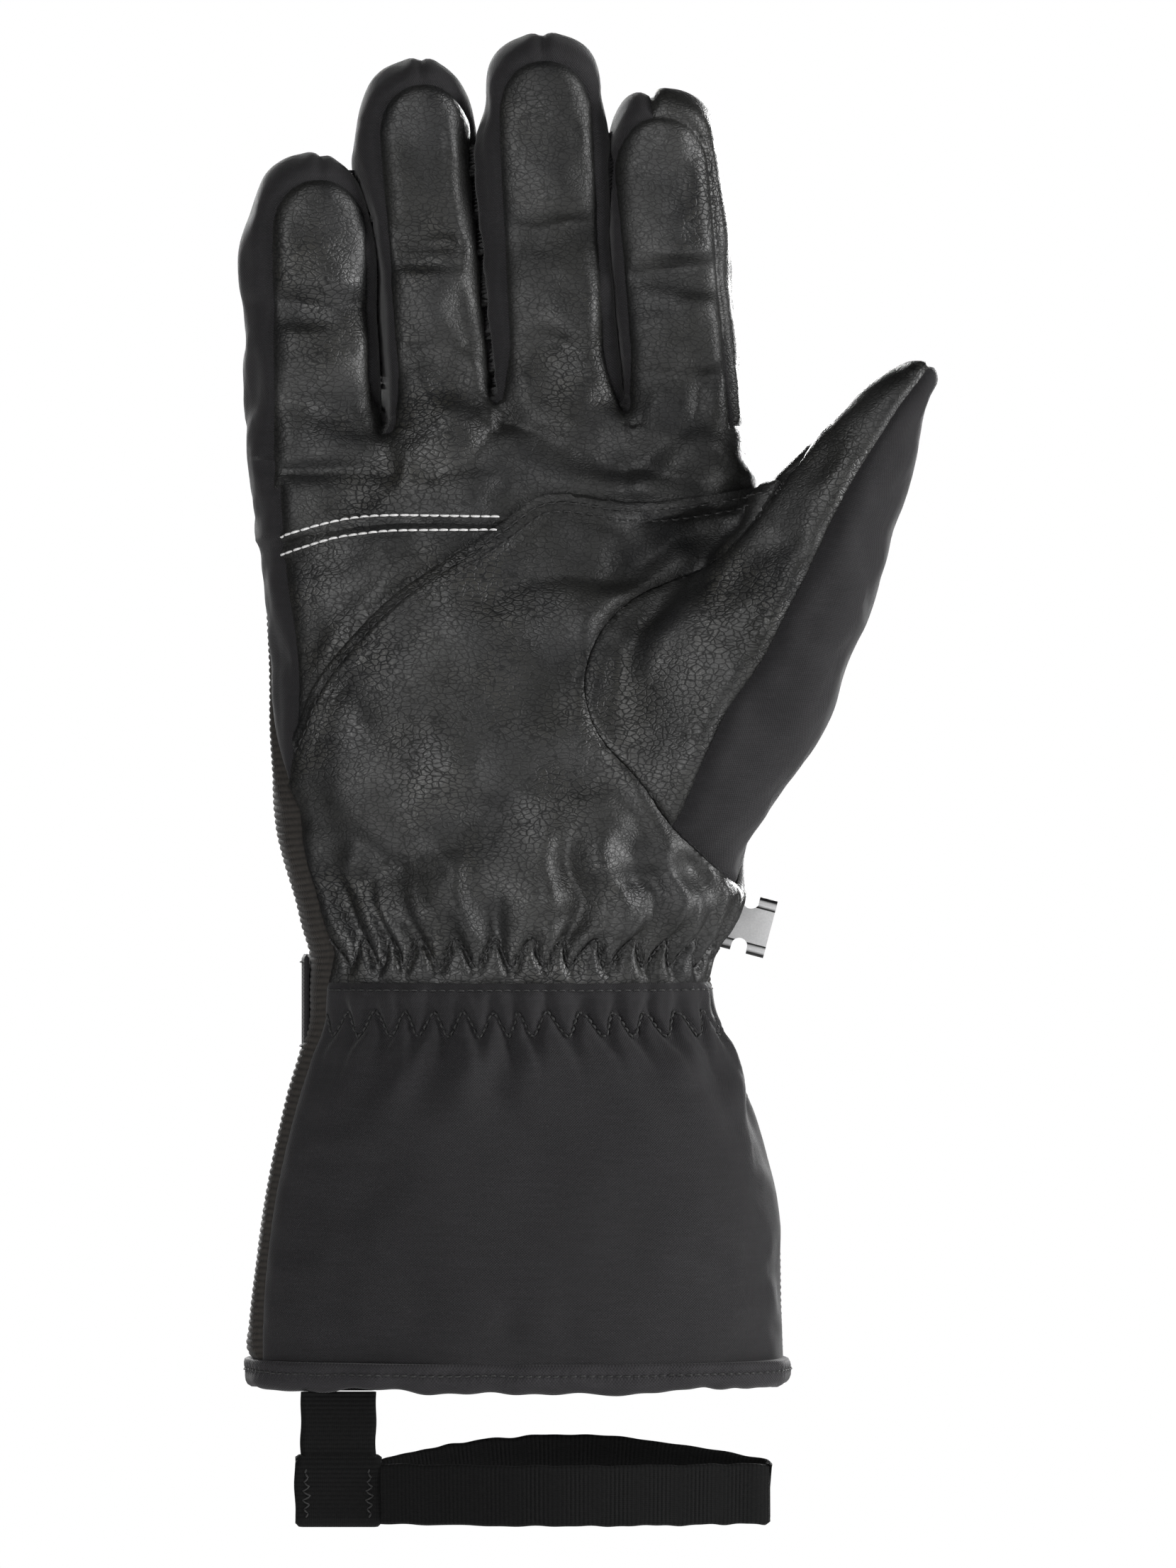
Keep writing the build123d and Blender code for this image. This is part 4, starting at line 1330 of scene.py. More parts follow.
def wall_room(p, owner):
    """1 in the open, falling to 0 where two fingers' sides press together."""
    room = np.ones(len(p))
    for i, name in enumerate(FINGERS):
        m = (owner == i) & (p[:, 2] > 232)
        for k, sign in FINGER[name].walls:
            line = np.interp(p[m][:, 2], CONTACTS[k][:, 1], CONTACTS[k][:, 0])
            gap = -sign * (p[m][:, 0] - line - CONTACT_SLANT[k] * (p[m][:, 1] + 2))
            room[m] = np.minimum(room[m], np.clip((gap - 0.5) / 2.5, 0, 1))
    return room


# The cloth simulation: size of its mesh, frames, pressure inside the glove, slack in the cloth (negative is
# longer cloth), the most it may rise or sink and the share of it that is used.
SIM_GRID, SIM_FRAMES, SIM_PRESSURE, SIM_SLACK, SIM_CAP, SIM_SHARE = 4.5, 20, 4.0, -0.06, 2.4, 0.62
# How many of its vertices each vertex of the skin takes its rise from, and over what distance.
SIM_NEIGHBOURS, SIM_BLUR = 7, 3.4


def held_down(p):
    """True where a seam, an elastic or a joint's fold line holds the cloth to the padding."""
    z, front = p[:, 2], p[:, 1] < 0
    held = np.abs(palm_leather_field(p)) < 2.4
    held |= (np.abs(line_distance(p, OVERLAY)) < 2.3) & front & (z > 130) & (z < 224)
    held |= (np.abs(line_distance(p, WHITE_SEAM)) < 2.6) & front & (p[:, 0] < 6)
    held |= (np.abs(thumb_field(p)) < 2.4) & (p[:, 0] > 12) & (z > 112)
    held |= (np.abs(thumb_leather_field(p)) < 2.4) & (thumb_field(p) > 0)
    held |= (np.abs(back_field(p)) < 2.4) & (z < KNUCKLE_SEAM_Z)
    held |= (np.abs(z - UPPER_ROW[0]) < 3.4) | (np.abs(z - LOWER_ROW[0]) < 3.0) | (z < HEM_TOP + 4)
    owner = finger_owner(p)
    for i, name in enumerate(FINGERS):
        f = FINGER[name]
        s = f.local(p)[0]
        held |= (owner == i) & (np.abs(s - f.middle_s) < 2.3) & (s > 0)
    return held


def puffed_height(verts, normals):
    """How far air pressure inside lifts the outer cloth between its seams, by a cloth simulation."""
    low, high = np.array([-76.0, -50.0, -10.0]), np.array([110.0, 40.0, 336.0])
    rest, quads = surface_nets(glove_sdf, low, high, SIM_GRID)
    rest = project(rest, rounds=2)
    obj = mesh_object("cloth_rest", rest, [quads], "woven")
    held = obj.vertex_groups.new(name="held")
    held.add([int(i) for i in np.flatnonzero(held_down(rest))], 1.0, "REPLACE")
    cloth = obj.modifiers.new("cloth", "CLOTH")
    cloth.settings.use_pressure = True
    cloth.settings.uniform_pressure_force = SIM_PRESSURE
    cloth.settings.vertex_group_mass = "held"
    cloth.settings.effector_weights.gravity = 0
    cloth.settings.shrink_min = SIM_SLACK
    cloth.settings.tension_stiffness = 15
    cloth.settings.bending_stiffness = 0.5
    cloth.collision_settings.use_collision = False
    scene = bpy.context.scene
    for frame_number in range(1, SIM_FRAMES + 1):
        scene.frame_set(frame_number)
    after = obj.evaluated_get(bpy.context.evaluated_depsgraph_get()).data
    moved = np.empty(3 * len(rest), np.float32)
    after.vertices.foreach_get("co", moved)
    rise = ((moved.reshape(-1, 3) * MM - rest) * unit(gradient(rest))).sum(1)
    rise = SIM_CAP * np.tanh((rise - np.median(rise)) / SIM_CAP)
    bpy.data.objects.remove(obj)
    scene.frame_set(1)
    tree = point_tree(rest)
    out = np.zeros(len(verts))
    for k, point in enumerate(verts):
        near = tree.find_n(point, SIM_NEIGHBOURS)
        weight = np.exp([-((d / SIM_BLUR) ** 2) for _, _, d in near]) + 1e-9
        out[k] = (rise[[i for _, i, _ in near]] * weight).sum() / weight.sum()
    return SIM_SHARE * out


def build_skin():
    verts, tris = make_skin_mesh()
    centroid = verts[tris].mean(1)
    cloth, piece = cloth_labels(centroid)
    keep = (centroid[:, 2] > HEM_TOP - 1.6) & (piece != "ribbed")
    normals = unit(gradient(verts))
    # which vertices touch more than one cloth
    names, code = np.unique(cloth, return_inverse=True)
    low = np.full(len(verts), 99)
    high = np.full(len(verts), -1)
    for k in range(3):
        np.minimum.at(low, tris[:, k], code)
        np.maximum.at(high, tris[:, k], code)
    on_seam = (low < high) & (high >= 0)
    flat = on_seam & (np.abs(verts[:, 2] - (HEM_TOP - 1.6)) < 0.3)
    seam_points = verts[on_seam & ~flat]
    distance = seam_distance(verts, seam_points)
    owner = finger_owner(verts)
    is_thumb = thumb_field(verts) > 0
    height = smooth_displacement(verts, owner, is_thumb) + puffed_height(verts, normals)
    height *= wall_room(verts, owner)
    calm = 1 - 0.75 * np.exp(-((distance / 2.2) ** 2))
    overlay = np.abs(line_distance(verts, OVERLAY))
    white = line_distance(verts, WHITE_SEAM)
    weave = weave_coordinates(verts, owner, is_thumb)
    objects = {}
    for name in sorted(set(piece[keep])):
        group = keep & (piece == name)
        if group.sum() < 4:
            continue
        kinds, counts = np.unique(cloth[group], return_counts=True)
        kind = kinds[np.argmax(counts)]
        material, thick, lift = LAYERS[kind]
        used, local = np.unique(tris[group], return_inverse=True)
        faces = local.reshape(-1, 3)
        p, n, d = verts[used], normals[used], distance[used]
        groove = seam_groove(d)
        if kind in ("palm_heel", "palm_upper", "palm_side"):
            near = np.exp(-((overlay[used] / 1.6) ** 2)) * (p[:, 1] < 0)
            groove = groove * (1 - near) + near * (0.10 if kind == "palm_heel" else -0.35)
        if kind in ("palm_upper", "palm_side"):
            rib = np.abs(white[used])
            near = np.exp(-((rib / 3.0) ** 4)) * (p[:, 0] < 4) * (p[:, 1] < 0) * (p[:, 2] > 190)
            tuck = -0.7 * np.exp(-((rib / 0.8) ** 2)) + 0.45 * np.exp(-((rib - 1.9) ** 2))
            groove = groove * (1 - near) + near * tuck
        lifted = lift * np.clip((line_distance(p, OVERLAY) + 3) / 3, 0, 1) if kind == "palm_heel" else 0
        if kind == "palm_heel":
            lifted = lifted * np.clip((p[:, 2] - SEAM_Z) / 12, 0, 1)
            inside = overlay[used]
            welt = 0.75 * np.clip(inside / 0.8, 0, 1) * np.clip((5.9 - inside) / 1.2, 0, 1)
            welt -= 0.50 * bump(inside - 2.0, 0.75) + 0.50 * bump(inside - 4.3, 0.75)
            lifted = lifted + welt * (p[:, 1] < 0) * np.clip((p[:, 2] - 134) / 8, 0, 1)
        h = height[used] * calm[used] + groove + lifted
        moved = p + n * h[:, None]
        sheet = thick_sheet(name, moved, n, faces, thick, material, weave[used])
        objects[name] = sheet
        SKIN[name] = (moved, faces)
    return objects


# ---------------------------------------------------------------- sections of the cuff and hand


def march(sdf, centre, direction, start, rounds=26):
    """Where rays from far outside towards a centre first meet a surface."""
    r = np.full(len(direction), float(start))
    for _ in range(rounds):
        p = centre + direction * r[:, None]
        r = np.maximum(r - 0.85 * sdf(p), 0.5)
    return centre + direction * r[:, None]


RAY_START = 95.0
RAY_SQUASH = 0.52  # how much flatter than a circle the rays are spread


def outline(sdf, z, a):
    """Where rays towards the middle meet a shape, at heights z and angles a (0 = left, 90 = back)."""
    direction = unit(np.stack([-np.cos(a), RAY_SQUASH * np.sin(a), np.zeros_like(a)], 1))
    centre = np.stack([np.zeros_like(a), np.zeros_like(a), z], 1)
    return march(sdf, centre, direction, RAY_START)


def section_points(sdf, heights, angles):
    """Rows of points round a shape's outline, one row for each height."""
    z, a = np.meshgrid(heights, angles, indexing="ij")
    return outline(sdf, z.ravel(), a.ravel())


def path_length(points):
    """Length along a polyline up to each of its points."""
    return np.concatenate([[0], np.cumsum(np.linalg.norm(np.diff(points, axis=0), axis=1))])


def shifted(sdf, amount):
    return lambda p: sdf(p) - amount


def rib_profile(z, pitch, height):
    return height * np.abs(np.sin(math.pi * z / pitch)) ** 0.7


# How far a ribbed panel's sides reach under the neighbouring panels, and how far down.
TUCK_OUT, TUCK_DOWN = 1.4, 1.7


def ribbed_panel(name, z_low, z_high):
    """One knitted panel of the back, with its horizontal ribs."""
    steps = 5
    rows = np.arange(z_low, z_high + 1e-6, RIB_PITCH / steps)
    columns = 150
    probe = np.radians(np.linspace(-40, 220, 261))
    points = section_points(glove_sdf, rows, probe).reshape(len(rows), len(probe), 3)
    flat = points.reshape(-1, 3)
    field = np.minimum(back_field(flat), np.where(flat[:, 0] > 25, -thumb_field(flat), 9.0))
    field = field.reshape(len(rows), len(probe))
    start, end = np.zeros(len(rows)), np.zeros(len(rows))
    middle = len(probe) // 2
    for i in range(len(rows)):
        row = field[i]
        left = middle
        while left > 0 and row[left - 1] > 0:
            left -= 1
        right = middle
        while right < len(probe) - 1 and row[right + 1] > 0:
            right += 1
        t = row[left] / (row[left] - row[left - 1] + 1e-9)
        start[i] = probe[left] - t * (probe[1] - probe[0])
        t = row[right] / (row[right] - row[min(right + 1, len(probe) - 1)] + 1e-9)
        end[i] = probe[right] + t * (probe[1] - probe[0])
    kernel = np.ones(9) / 9
    start = np.convolve(np.pad(start, 4, mode="edge"), kernel, "valid")
    end = np.convolve(np.pad(end, 4, mode="edge"), kernel, "valid")
    share = np.linspace(0, 1, columns)
    angles = start[:, None] + (end - start)[:, None] * share[None, :]
    p = outline(glove_sdf, np.repeat(rows, columns), angles.ravel())
    grid = p.reshape(len(rows), columns, 3)
    steps = np.linalg.norm(np.diff(grid, axis=1), axis=2)
    arc = np.concatenate([np.zeros((len(rows), 1)), np.cumsum(steps, 1)], 1)
    total = arc[:, -1:]
    edge = np.minimum(arc, total - arc)
    n = unit(gradient(p)).reshape(len(rows), columns, 3)
    # a hidden margin at each side tucks under the neighbouring panels
    pull = grid.copy()
    for side, inward in ((0, 1), (-1, -2)):
        pull[:, side] = grid[:, side] + unit(grid[:, side] - grid[:, inward]) * TUCK_OUT
    grid = pull
    flat = grid.reshape(-1, 3)
    h = smooth_displacement(flat, finger_owner(flat), np.zeros(len(flat), bool)).reshape(edge.shape)
    seam_z = np.minimum(np.abs(rows - KNUCKLE_SEAM_Z), np.abs(rows - HEM_TOP))[:, None]
    near = np.minimum(edge, seam_z)
    h = h * (1 - 0.7 * np.exp(-((near / 2.5) ** 2))) + seam_groove(near)
    h += rib_profile(rows, RIB_PITCH, 0.42)[:, None] * np.clip(edge / 1.2, 0, 1)
    h[:, [0, -1]] -= TUCK_DOWN
    moved = flat + n.reshape(-1, 3) * h.reshape(-1)[:, None]
    faces = grid_faces(len(rows), columns)
    weave = np.stack([arc.ravel(), np.repeat(rows, columns), np.zeros(arc.size)], 1)
    normal = vertex_normals(moved, faces)
    if (normal * n.reshape(-1, 3)).sum() < 0:
        faces = faces[:, ::-1]
    SKIN[name] = (moved, np.vstack([faces[:, [0, 1, 2]], faces[:, [0, 2, 3]]]))
    return thick_sheet(name, moved, n.reshape(-1, 3), faces, 1.2, "ribbed", weave)


def ring_band(name, sdf, rows, thickness, material, displacement=None, angles=None, closed=True):
    """A band round a section, or over the given angles of it. rows is a list of (height, offset)."""
    count = 300
    if angles is None:
        angles = np.linspace(0, 2 * math.pi, count, endpoint=False)
    outer = []
    for z, offset in rows:
        outer.append(section_points(shifted(sdf, offset), [z], angles))
    p = np.vstack(outer)
    columns = len(angles)
    n = unit(gradient(p, sdf))
    if displacement is not None:
        p = p + n * displacement(p)[:, None]
    faces = grid_faces(len(rows), columns, closed)
    if (vertex_normals(p, faces) * n).sum() < 0:
        faces = faces[:, ::-1]
    arc = np.tile(path_length(p[:columns]), len(rows))
    along = np.repeat([r[0] for r in rows], columns)
    weave = np.stack([arc, along, np.zeros(len(p))], 1)
    return thick_sheet(name, p, n, faces, thickness, material, weave)


# The hem tape's section: distance out from the cuff, and height.
HEM_PROFILE = [(0.30, 6.45), (0.85, 6.2), (1.10, 5.4), (1.10, 4.5), (0.80, 3.75), (1.05, 3.0), (1.15, 2.0),
               (0.95, 0.9), (0.45, 0.1), (-0.5, -0.45), (-1.7, -0.5), (-2.9, -0.1), (-3.6, 0.8), (-3.9, 2.0),
               (-3.9, 3.6), (-3.9, 5.2), (-3.6, 6.2), (-1.7, 6.45)]


def hem_binding():
    """The folded tape round the hem, with a rolled lower edge."""
    count = 620
    angles = np.linspace(0, 2 * math.pi, count, endpoint=False)
    rings = []
    arc = None
    for offset, z in HEM_PROFILE:
        p = section_points(hand_sdf, [max(z, -3.5)], angles)
        n = unit(gradient(p, hand_sdf) * np.array([1, 1, 0]))
        if arc is None:
            arc = path_length(p)
        wave = 0.45 * waves(p * np.array([1, 1, 0]), 34, 41) + 0.2 * waves(p * np.array([1, 1, 0]), 9, 42)
        stitch = np.cos(2 * math.pi * arc / 2.2)
        swell = 0.14 * stitch * bump(z - 3.7, 0.9) if offset > 0 else 0
        low = np.clip((6.5 - z) / 7, 0, 1)
        q = p + n * (offset + swell + 0.25 * waves(p, 12, 43))[:, None]
        q[:, 2] = z + wave * low
        # the right-hand lower corner is drawn up a little
        q[:, 2] += 1.2 * low * np.clip((p[:, 0] - 52) / 13, 0, 1) ** 2
        rings.append(q)
    p = np.vstack(rings)
    rows = len(HEM_PROFILE)
    faces = grid_faces(rows, count, True)
    this = np.arange(count)
    after = (this + 1) % count
    last = (rows - 1) * count
    closing = np.stack([last + this, last + after, after, this], 1)
    faces = np.vstack([faces, closing])
    out = vertex_normals(p, faces)
    centre = np.vstack([np.mean(rings, 0)] * rows)
    if ((p - centre) * out).sum() < 0:
        faces = faces[:, ::-1]
    along = np.repeat([z + o for o, z in HEM_PROFILE], count)
    weave = np.stack([np.tile(arc, rows), along, np.zeros(len(p))], 1)
    obj = mesh_object("hem_binding_cloth", p, [faces], "binding", None, {"weave": weave})
    SKIN["hem_binding_cloth"] = (p, np.vstack([faces[:, [0, 1, 2]], faces[:, [0, 2, 3]]]))
    return obj


# ---------------------------------------------------------------- webbing


RIBBON_POINTS = 25  # points across each face of a tape


def ribbon(name, path, across, half_width, half_thickness, material, pitch=1.05, rib=0.16):
    """A woven tape along a path: ribs across it and a thin woven edge down each side."""
    path = np.asarray(path, float)
    n = len(path)
    tangent = unit(np.gradient(path, axis=0))
    length = path_length(path)
    across = np.broadcast_to(np.asarray(across, float), path.shape)
    across = unit(across - tangent * (across * tangent).sum(1)[:, None])
    normal = np.cross(tangent, across)
    m = RIBBON_POINTS
    shares = np.concatenate([np.linspace(-1, 1, m), np.linspace(1, -1, m)])
    side = np.concatenate([np.ones(m), -np.ones(m)])
    reach = np.abs(shares) * half_width
    edge = half_width - reach
    round_off = np.sqrt(np.clip(1 - (1 - np.clip(edge / 0.8, 0, 1)) ** 2, 0, 1))
    ribs = rib * (np.abs(np.sin(math.pi * length / pitch)) ** 0.8 - 0.5)
    inner = np.clip((edge - 1.1) / 0.3, 0, 1)
    lift = half_thickness * round_off[None, :] + ribs[:, None] * inner[None, :]
    selvage = 0.10 * np.exp(-(((edge - 0.6) / 0.35) ** 2))
    lift = lift + selvage[None, :]
    wobble = 0.12 * waves(path, 7, 91)
    p = (path[:, None, :] + across[:, None, :] * (shares * half_width)[None, :, None]
         + normal[:, None, :] * (lift * side[None, :])[:, :, None]
         + across[:, None, :] * wobble[:, None, None])
    k = len(shares)
    flat = p.reshape(-1, 3)
    faces = grid_faces(n, k, True)
    # each end is closed by a strip between the two faces
    i = np.arange(m - 1)
    first = np.stack([i, k - 1 - i, k - 2 - i, i + 1], 1)
    groups = [faces, first, first[:, ::-1] + (n - 1) * k]
    if ((flat - np.repeat(path, k, 0)) * vertex_normals(flat, faces)).sum() < 0:
        groups = [g[:, ::-1] for g in groups]
    weave = np.stack([np.tile(shares * half_width, n), np.repeat(length, k), np.zeros(len(flat))], 1)
    obj = mesh_object(name, flat, groups, material, None, {"weave": weave})
    faces = groups[0]
    SKIN[name] = (flat, np.vstack([faces[:, [0, 1, 2]], faces[:, [0, 2, 3]]]))
    return obj


def dense(points, step=0.22):
    """Points along a polyline at an even spacing."""
    points = np.asarray(points, float)
    length = path_length(points)
    count = max(4, int(length[-1] / step))
    s = np.linspace(0, length[-1], count)
    return np.stack([np.interp(s, length, points[:, i]) for i in range(points.shape[1])], 1)


# ---------------------------------------------------------------- stitches


def skin_tree():
    verts, faces, total = [], [], 0
    for v, f in SKIN.values():
        verts.append(v)
        faces.append(f + total)
        total += len(v)
    return BVHTree.FromPolygons([tuple(v) for v in np.vstack(verts)], [tuple(f) for f in np.vstack(faces)])


def cast(tree, origins, directions):
    """Hit points and normals along rays. Rays that miss are left out."""
    points, normals = [], []
    for o, d in zip(origins, directions):
        hit, normal, _, _ = tree.ray_cast(Vector(o), Vector(d).normalized(), 200.0)
        if hit is None:
            continue
        if normal.dot(Vector(d)) > 0:
            normal = -normal
        points.append(np.array(hit))
        normals.append(np.array(normal))
    return np.array(points), np.array(normals)


def stitches(name, starts, ends, start_normals, end_normals, radius, material, arch=0.25, sink=0.15):
    """Short threads: each rises from one needle hole and dips into the next."""
    rings, around = 6, 6
    t = np.linspace(0, 1, rings)
    n = unit((start_normals + end_normals) / 2)
    d = unit(ends - starts)
    side = unit(np.cross(n, d))
    count = len(starts)
    lift = arch * np.sin(math.pi * t) ** 0.6 - sink * (1 - np.sin(math.pi * t)) ** 2 + radius * 0.4
    width = radius * (0.55 + 0.45 * np.sin(math.pi * t) ** 0.5)
    centre = (starts[:, None, :] + (ends - starts)[:, None, :] * t[None, :, None]
              + n[:, None, :] * lift[None, :, None])
    angle = np.linspace(0, 2 * math.pi, around, endpoint=False)
    cos, sin = np.cos(angle)[None, None, :, None], np.sin(angle)[None, None, :, None]
    ring = side[:, None, None, :] * cos + n[:, None, None, :] * sin
    p = centre[:, :, None, :] + ring * width[None, :, None, None]
    flat = p.reshape(-1, 3)
    base = (np.arange(count) * rings * around)[:, None]
    tube = grid_faces(rings, around, True)
    faces = (base[:, :, None] + tube[None, :, :]).reshape(-1, 4)
    fan = np.array([[0, 5, 4, 1], [1, 4, 3, 2]])
    caps = (base[:, :, None] + fan[None]).reshape(-1, 4)
    ends_ = (base[:, :, None] + fan[None][:, :, ::-1] + (rings - 1) * around).reshape(-1, 4)
    if ((flat - np.repeat(centre.reshape(-1, 3), around, 0)) * vertex_normals(flat, faces)).sum() < 0:
        faces = faces[:, ::-1]
    return mesh_object(name, flat, [faces, caps, ends_], material)


def row_of_stitches(name, points, normals, pitch, length, radius, material, seed=0, **more):
    """Stitches laid at an even pitch along a line of surface points."""
    rng = np.random.RandomState(seed)
    s = path_length(points)
    count = int(s[-1] / pitch)
    a = (np.arange(count) + 0.1) * pitch
    a = a + rng.uniform(-0.05, 0.05, count) * pitch
    b = a + length

    def at(values, x):
        return np.stack([np.interp(x, s, values[:, i]) for i in range(3)], 1)

    return stitches(name, at(points, a), at(points, b), at(normals, a), at(normals, b), radius, material,
                    **more)


def offset_curve(curve, amount):
    """A polyline moved sideways: positive to the right of its direction."""
    tangent = unit(np.gradient(curve, axis=0))
    return curve + np.stack([tangent[:, 1], -tangent[:, 0]], 1) * amount


def front_line(tree, curve, step=0.35):
    line = dense(curve, step)
    origins = np.stack([line[:, 0], np.full(len(line), -90.0), line[:, 1]], 1)
    return cast(tree, origins, np.tile([0.0, 1.0, 0.0], (len(line), 1)))


def wrist_line(tree, arcs, heights):
    """Surface points at places given by length round the wrist and height."""
    angles = np.interp(arcs, WRIST_ARC, WRIST_ANGLES)
    left, right, _, _ = lookup(PROFILE_T, heights)
    half, centre = (right - left) / 2, (right + left) / 2
    target = np.stack([centre, np.zeros(len(arcs)), heights], 1)
    outward = np.stack([half * np.sin(angles), -WRIST_DEPTH * np.cos(angles), np.zeros(len(arcs))], 1)
    return cast(tree, target + outward * 2.2, -outward)


# ---------------------------------------------------------------- where each piece goes: some are parented to the cuff or hand, the rest stay where they were built


def metres(p):
    return [float(c) / MM for c in p]


def follow_wrist(obj):
    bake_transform(obj)


def finger_point(f, s, joint):
    x, z = f.knuckle + f.along * s
    return metres((x, joint_pos(joint)[1], z))


def follow_knuckle(obj, name):
    f = FINGER[name]
    joint = name + "_knuckle"
    low, high = -f.knuckle_fold, f.knuckle_fold
    finger_point(f, low, joint)
    finger_point(f, high, joint)
    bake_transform(obj)


def follow_middle(obj, name):
    f = FINGER[name]
    joint = name + "_middle_joint"
    low, high = f.middle_s - f.middle_fold, f.middle_s + f.middle_fold
    finger_point(f, low, joint)
    finger_point(f, high, joint)
    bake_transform(obj)


def follow_thumb(obj):
    d = THUMB_TIP - THUMB_BASE
    d = np.array([d[0], 0, d[1]]) / np.linalg.norm(d)
    pivot = joint_pos("thumb_joint")
    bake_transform(obj)


def follow_strap(obj):
    pivot = joint_pos("strap_peel")
    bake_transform(obj)


def place_skin(objects):
    for name, obj in objects.items():
        if name in ("palm_heel", "back_panel"):
            follow_wrist(obj)
        elif name in ("cuff_front_panel", "cuff_back_panel"):
            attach(obj, "cuff")
        elif name.startswith("thumb"):
            follow_thumb(obj)
        elif "_base_" in name:
            follow_knuckle(obj, name.split("_")[0])
        elif "_tip_" in name:
            follow_middle(obj, name.split("_")[0])
        else:
            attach(obj, "hand")
        stands_for = [name]
        if name == "palm_heel":
            stands_for.append("wrist_gather")
        if name.startswith("thumb"):
            kind = name.split("_")[1]
            stands_for = [f"thumb_base_{kind}", f"thumb_tip_{kind}"]
        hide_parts(*stands_for)


# ---------------------------------------------------------------- inner layers


def finger_tube(name, label, s_low, s_high, inset, thickness, material, capped):
    f = FINGER[name]
    steps = np.linspace(s_low, s_high, 26)
    angles = np.linspace(0, 2 * math.pi, 72, endpoint=False)
    rings = []
    for s in steps:
        t = np.clip((s - f.cap_start + 4) / (f.cap - 2), 0, 0.97) if capped else 0.0
        shrink = math.sqrt(1 - t * t)
        at = np.array([s])
        a = np.where(np.cos(angles) < 0, f.width(at, f.reach_left), f.width(at, f.reach_right))
        b = (FINGER_DEPTH - 1.0 - inset) * shrink
        u, v = (a - inset) * shrink * np.cos(angles), b * np.sin(angles)
        rise = max(s, 0) * f.lean[0] + max(s - f.middle_s, 0) * f.lean[1]
        centre = f.knuckle + f.along * s
        for k, sign in f.walls:
            line = np.interp(centre[1], CONTACTS[k][:, 1], CONTACTS[k][:, 0])
            limit = line + CONTACT_SLANT[k] * (v - rise + 2) - centre[0] - sign * inset
            u = np.minimum(u, limit) if sign > 0 else np.maximum(u, limit)
        xz = f.knuckle + f.along * s + u[:, None] * f.across
        rings.append(np.stack([xz[:, 0], v - rise, xz[:, 1]], 1))
    return tube_layer(label, rings, thickness, material)


def thumb_tube(label, s_low, s_high, inset, thickness, material):
    steps = np.linspace(s_low, s_high, 34)
    angles = np.linspace(0, 2 * math.pi, 72, endpoint=False)
    d = (THUMB_TIP - THUMB_BASE) / np.linalg.norm(THUMB_TIP - THUMB_BASE)
    side = np.array([d[1], -d[0]])
    rings = []
    for s in steps:
        rc, half, yc, depth = [c[0] for c in lookup(THUMB_T, np.array([s]))]
        a, b = max(half - inset, 0.8), max(depth - inset, 0.8)
        xz = THUMB_BASE + d * s + (rc + a * np.cos(angles))[:, None] * side
        rings.append(np.stack([xz[:, 0], yc + b * np.sin(angles), xz[:, 1]], 1))
    return tube_layer(label, rings, thickness, material)


def tube_layer(label, rings, thickness, material):
    """A tube through rings of points, its wall of the given thickness."""
    columns = len(rings[0])
    p = np.vstack(rings)
    faces = grid_faces(len(rings), columns, True)
    centre = np.repeat([r.mean(0) for r in rings], columns, 0)
    normal = vertex_normals(p, faces)
    if ((p - centre) * normal).sum() < 0:
        faces = faces[:, ::-1]
        normal = -normal
    weave = np.stack([np.tile(np.arange(columns), len(rings)), p[:, 2], np.zeros(len(p))], 1)
    p = p + normal * (0.25 * waves(p, 11, 77))[:, None]
    return thick_sheet(label, p, normal, faces, thickness, material, weave)


def inner_layers():
    quick_step = 3.0
    wrinkle = lambda p: 0.5 * waves(p * np.array([1, 1, 0.5]), 26, 81) + 0.25 * waves(p, 9, 82)
    depth = lambda z: np.interp(z, [0, 20, 70, 85, 108, 118, 132], [-2.7, -3.4, -3.6, -5.0, -5.0, -6.2, -7.0])
    rows = [(z, depth(z)) for z in np.arange(1.5, 131, quick_step)]
    lining = ring_band("cuff_lining_cloth", hand_sdf, rows, 1.3, "fleece", wrinkle)
    follow_wrist(lining)
    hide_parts("cuff_lining")
    heights = np.arange(WRIST_END + 0.5, 227, quick_step)
    for node, offset, thick, material in (
        ("hand_insulation", -3.4, 1.8, "wadding"),
        ("hand_membrane", -5.4, 0.35, "film"),
        ("hand_lining", -6.0, 1.0, "fleece"),
    ):
        layer = ring_band(node + "_cloth", hand_sdf, [(z, offset) for z in heights], thick, material)
        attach(layer, "hand")
        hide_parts(node)
    front = np.radians(np.linspace(186, 354, 200))
    for place, (z, _) in (("upper", UPPER_ROW), ("lower", LOWER_ROW)):
        node = "wrist_elastic_" + place
        rows = [(h, -3.7) for h in np.linspace(z - 2.5, z + 2.5, 8)]
        band = ring_band(node + "_cloth", hand_sdf, rows, 0.7, "elastic", None, front, False)
        if place == "upper":
            follow_wrist(band)
        else:
            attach(band, "cuff")
        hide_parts(node)
    for name in FINGERS:
        f = FINGER[name]
        cut = (f.knuckle_fold + f.middle_s - f.middle_fold) / 2
        low = finger_tube(name, name + "_base_liner_cloth", -f.knuckle_fold, cut, 3.6, 2.6, "wadding", False)
        follow_knuckle(low, name)
        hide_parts(name + "_base_liner")
        high = finger_tube(name, name + "_tip_liner_cloth", cut, f.length - 3.4, 3.6, 2.6, "wadding", True)
        follow_middle(high, name)
        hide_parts(name + "_tip_liner")
    liner = thumb_tube("thumb_liner_cloth", 34, 106.5, 3.4, 2.6, "wadding")
    follow_thumb(liner)
    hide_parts("thumb_base_liner", "thumb_tip_liner")


# ---------------------------------------------------------------- strap, clip and leash


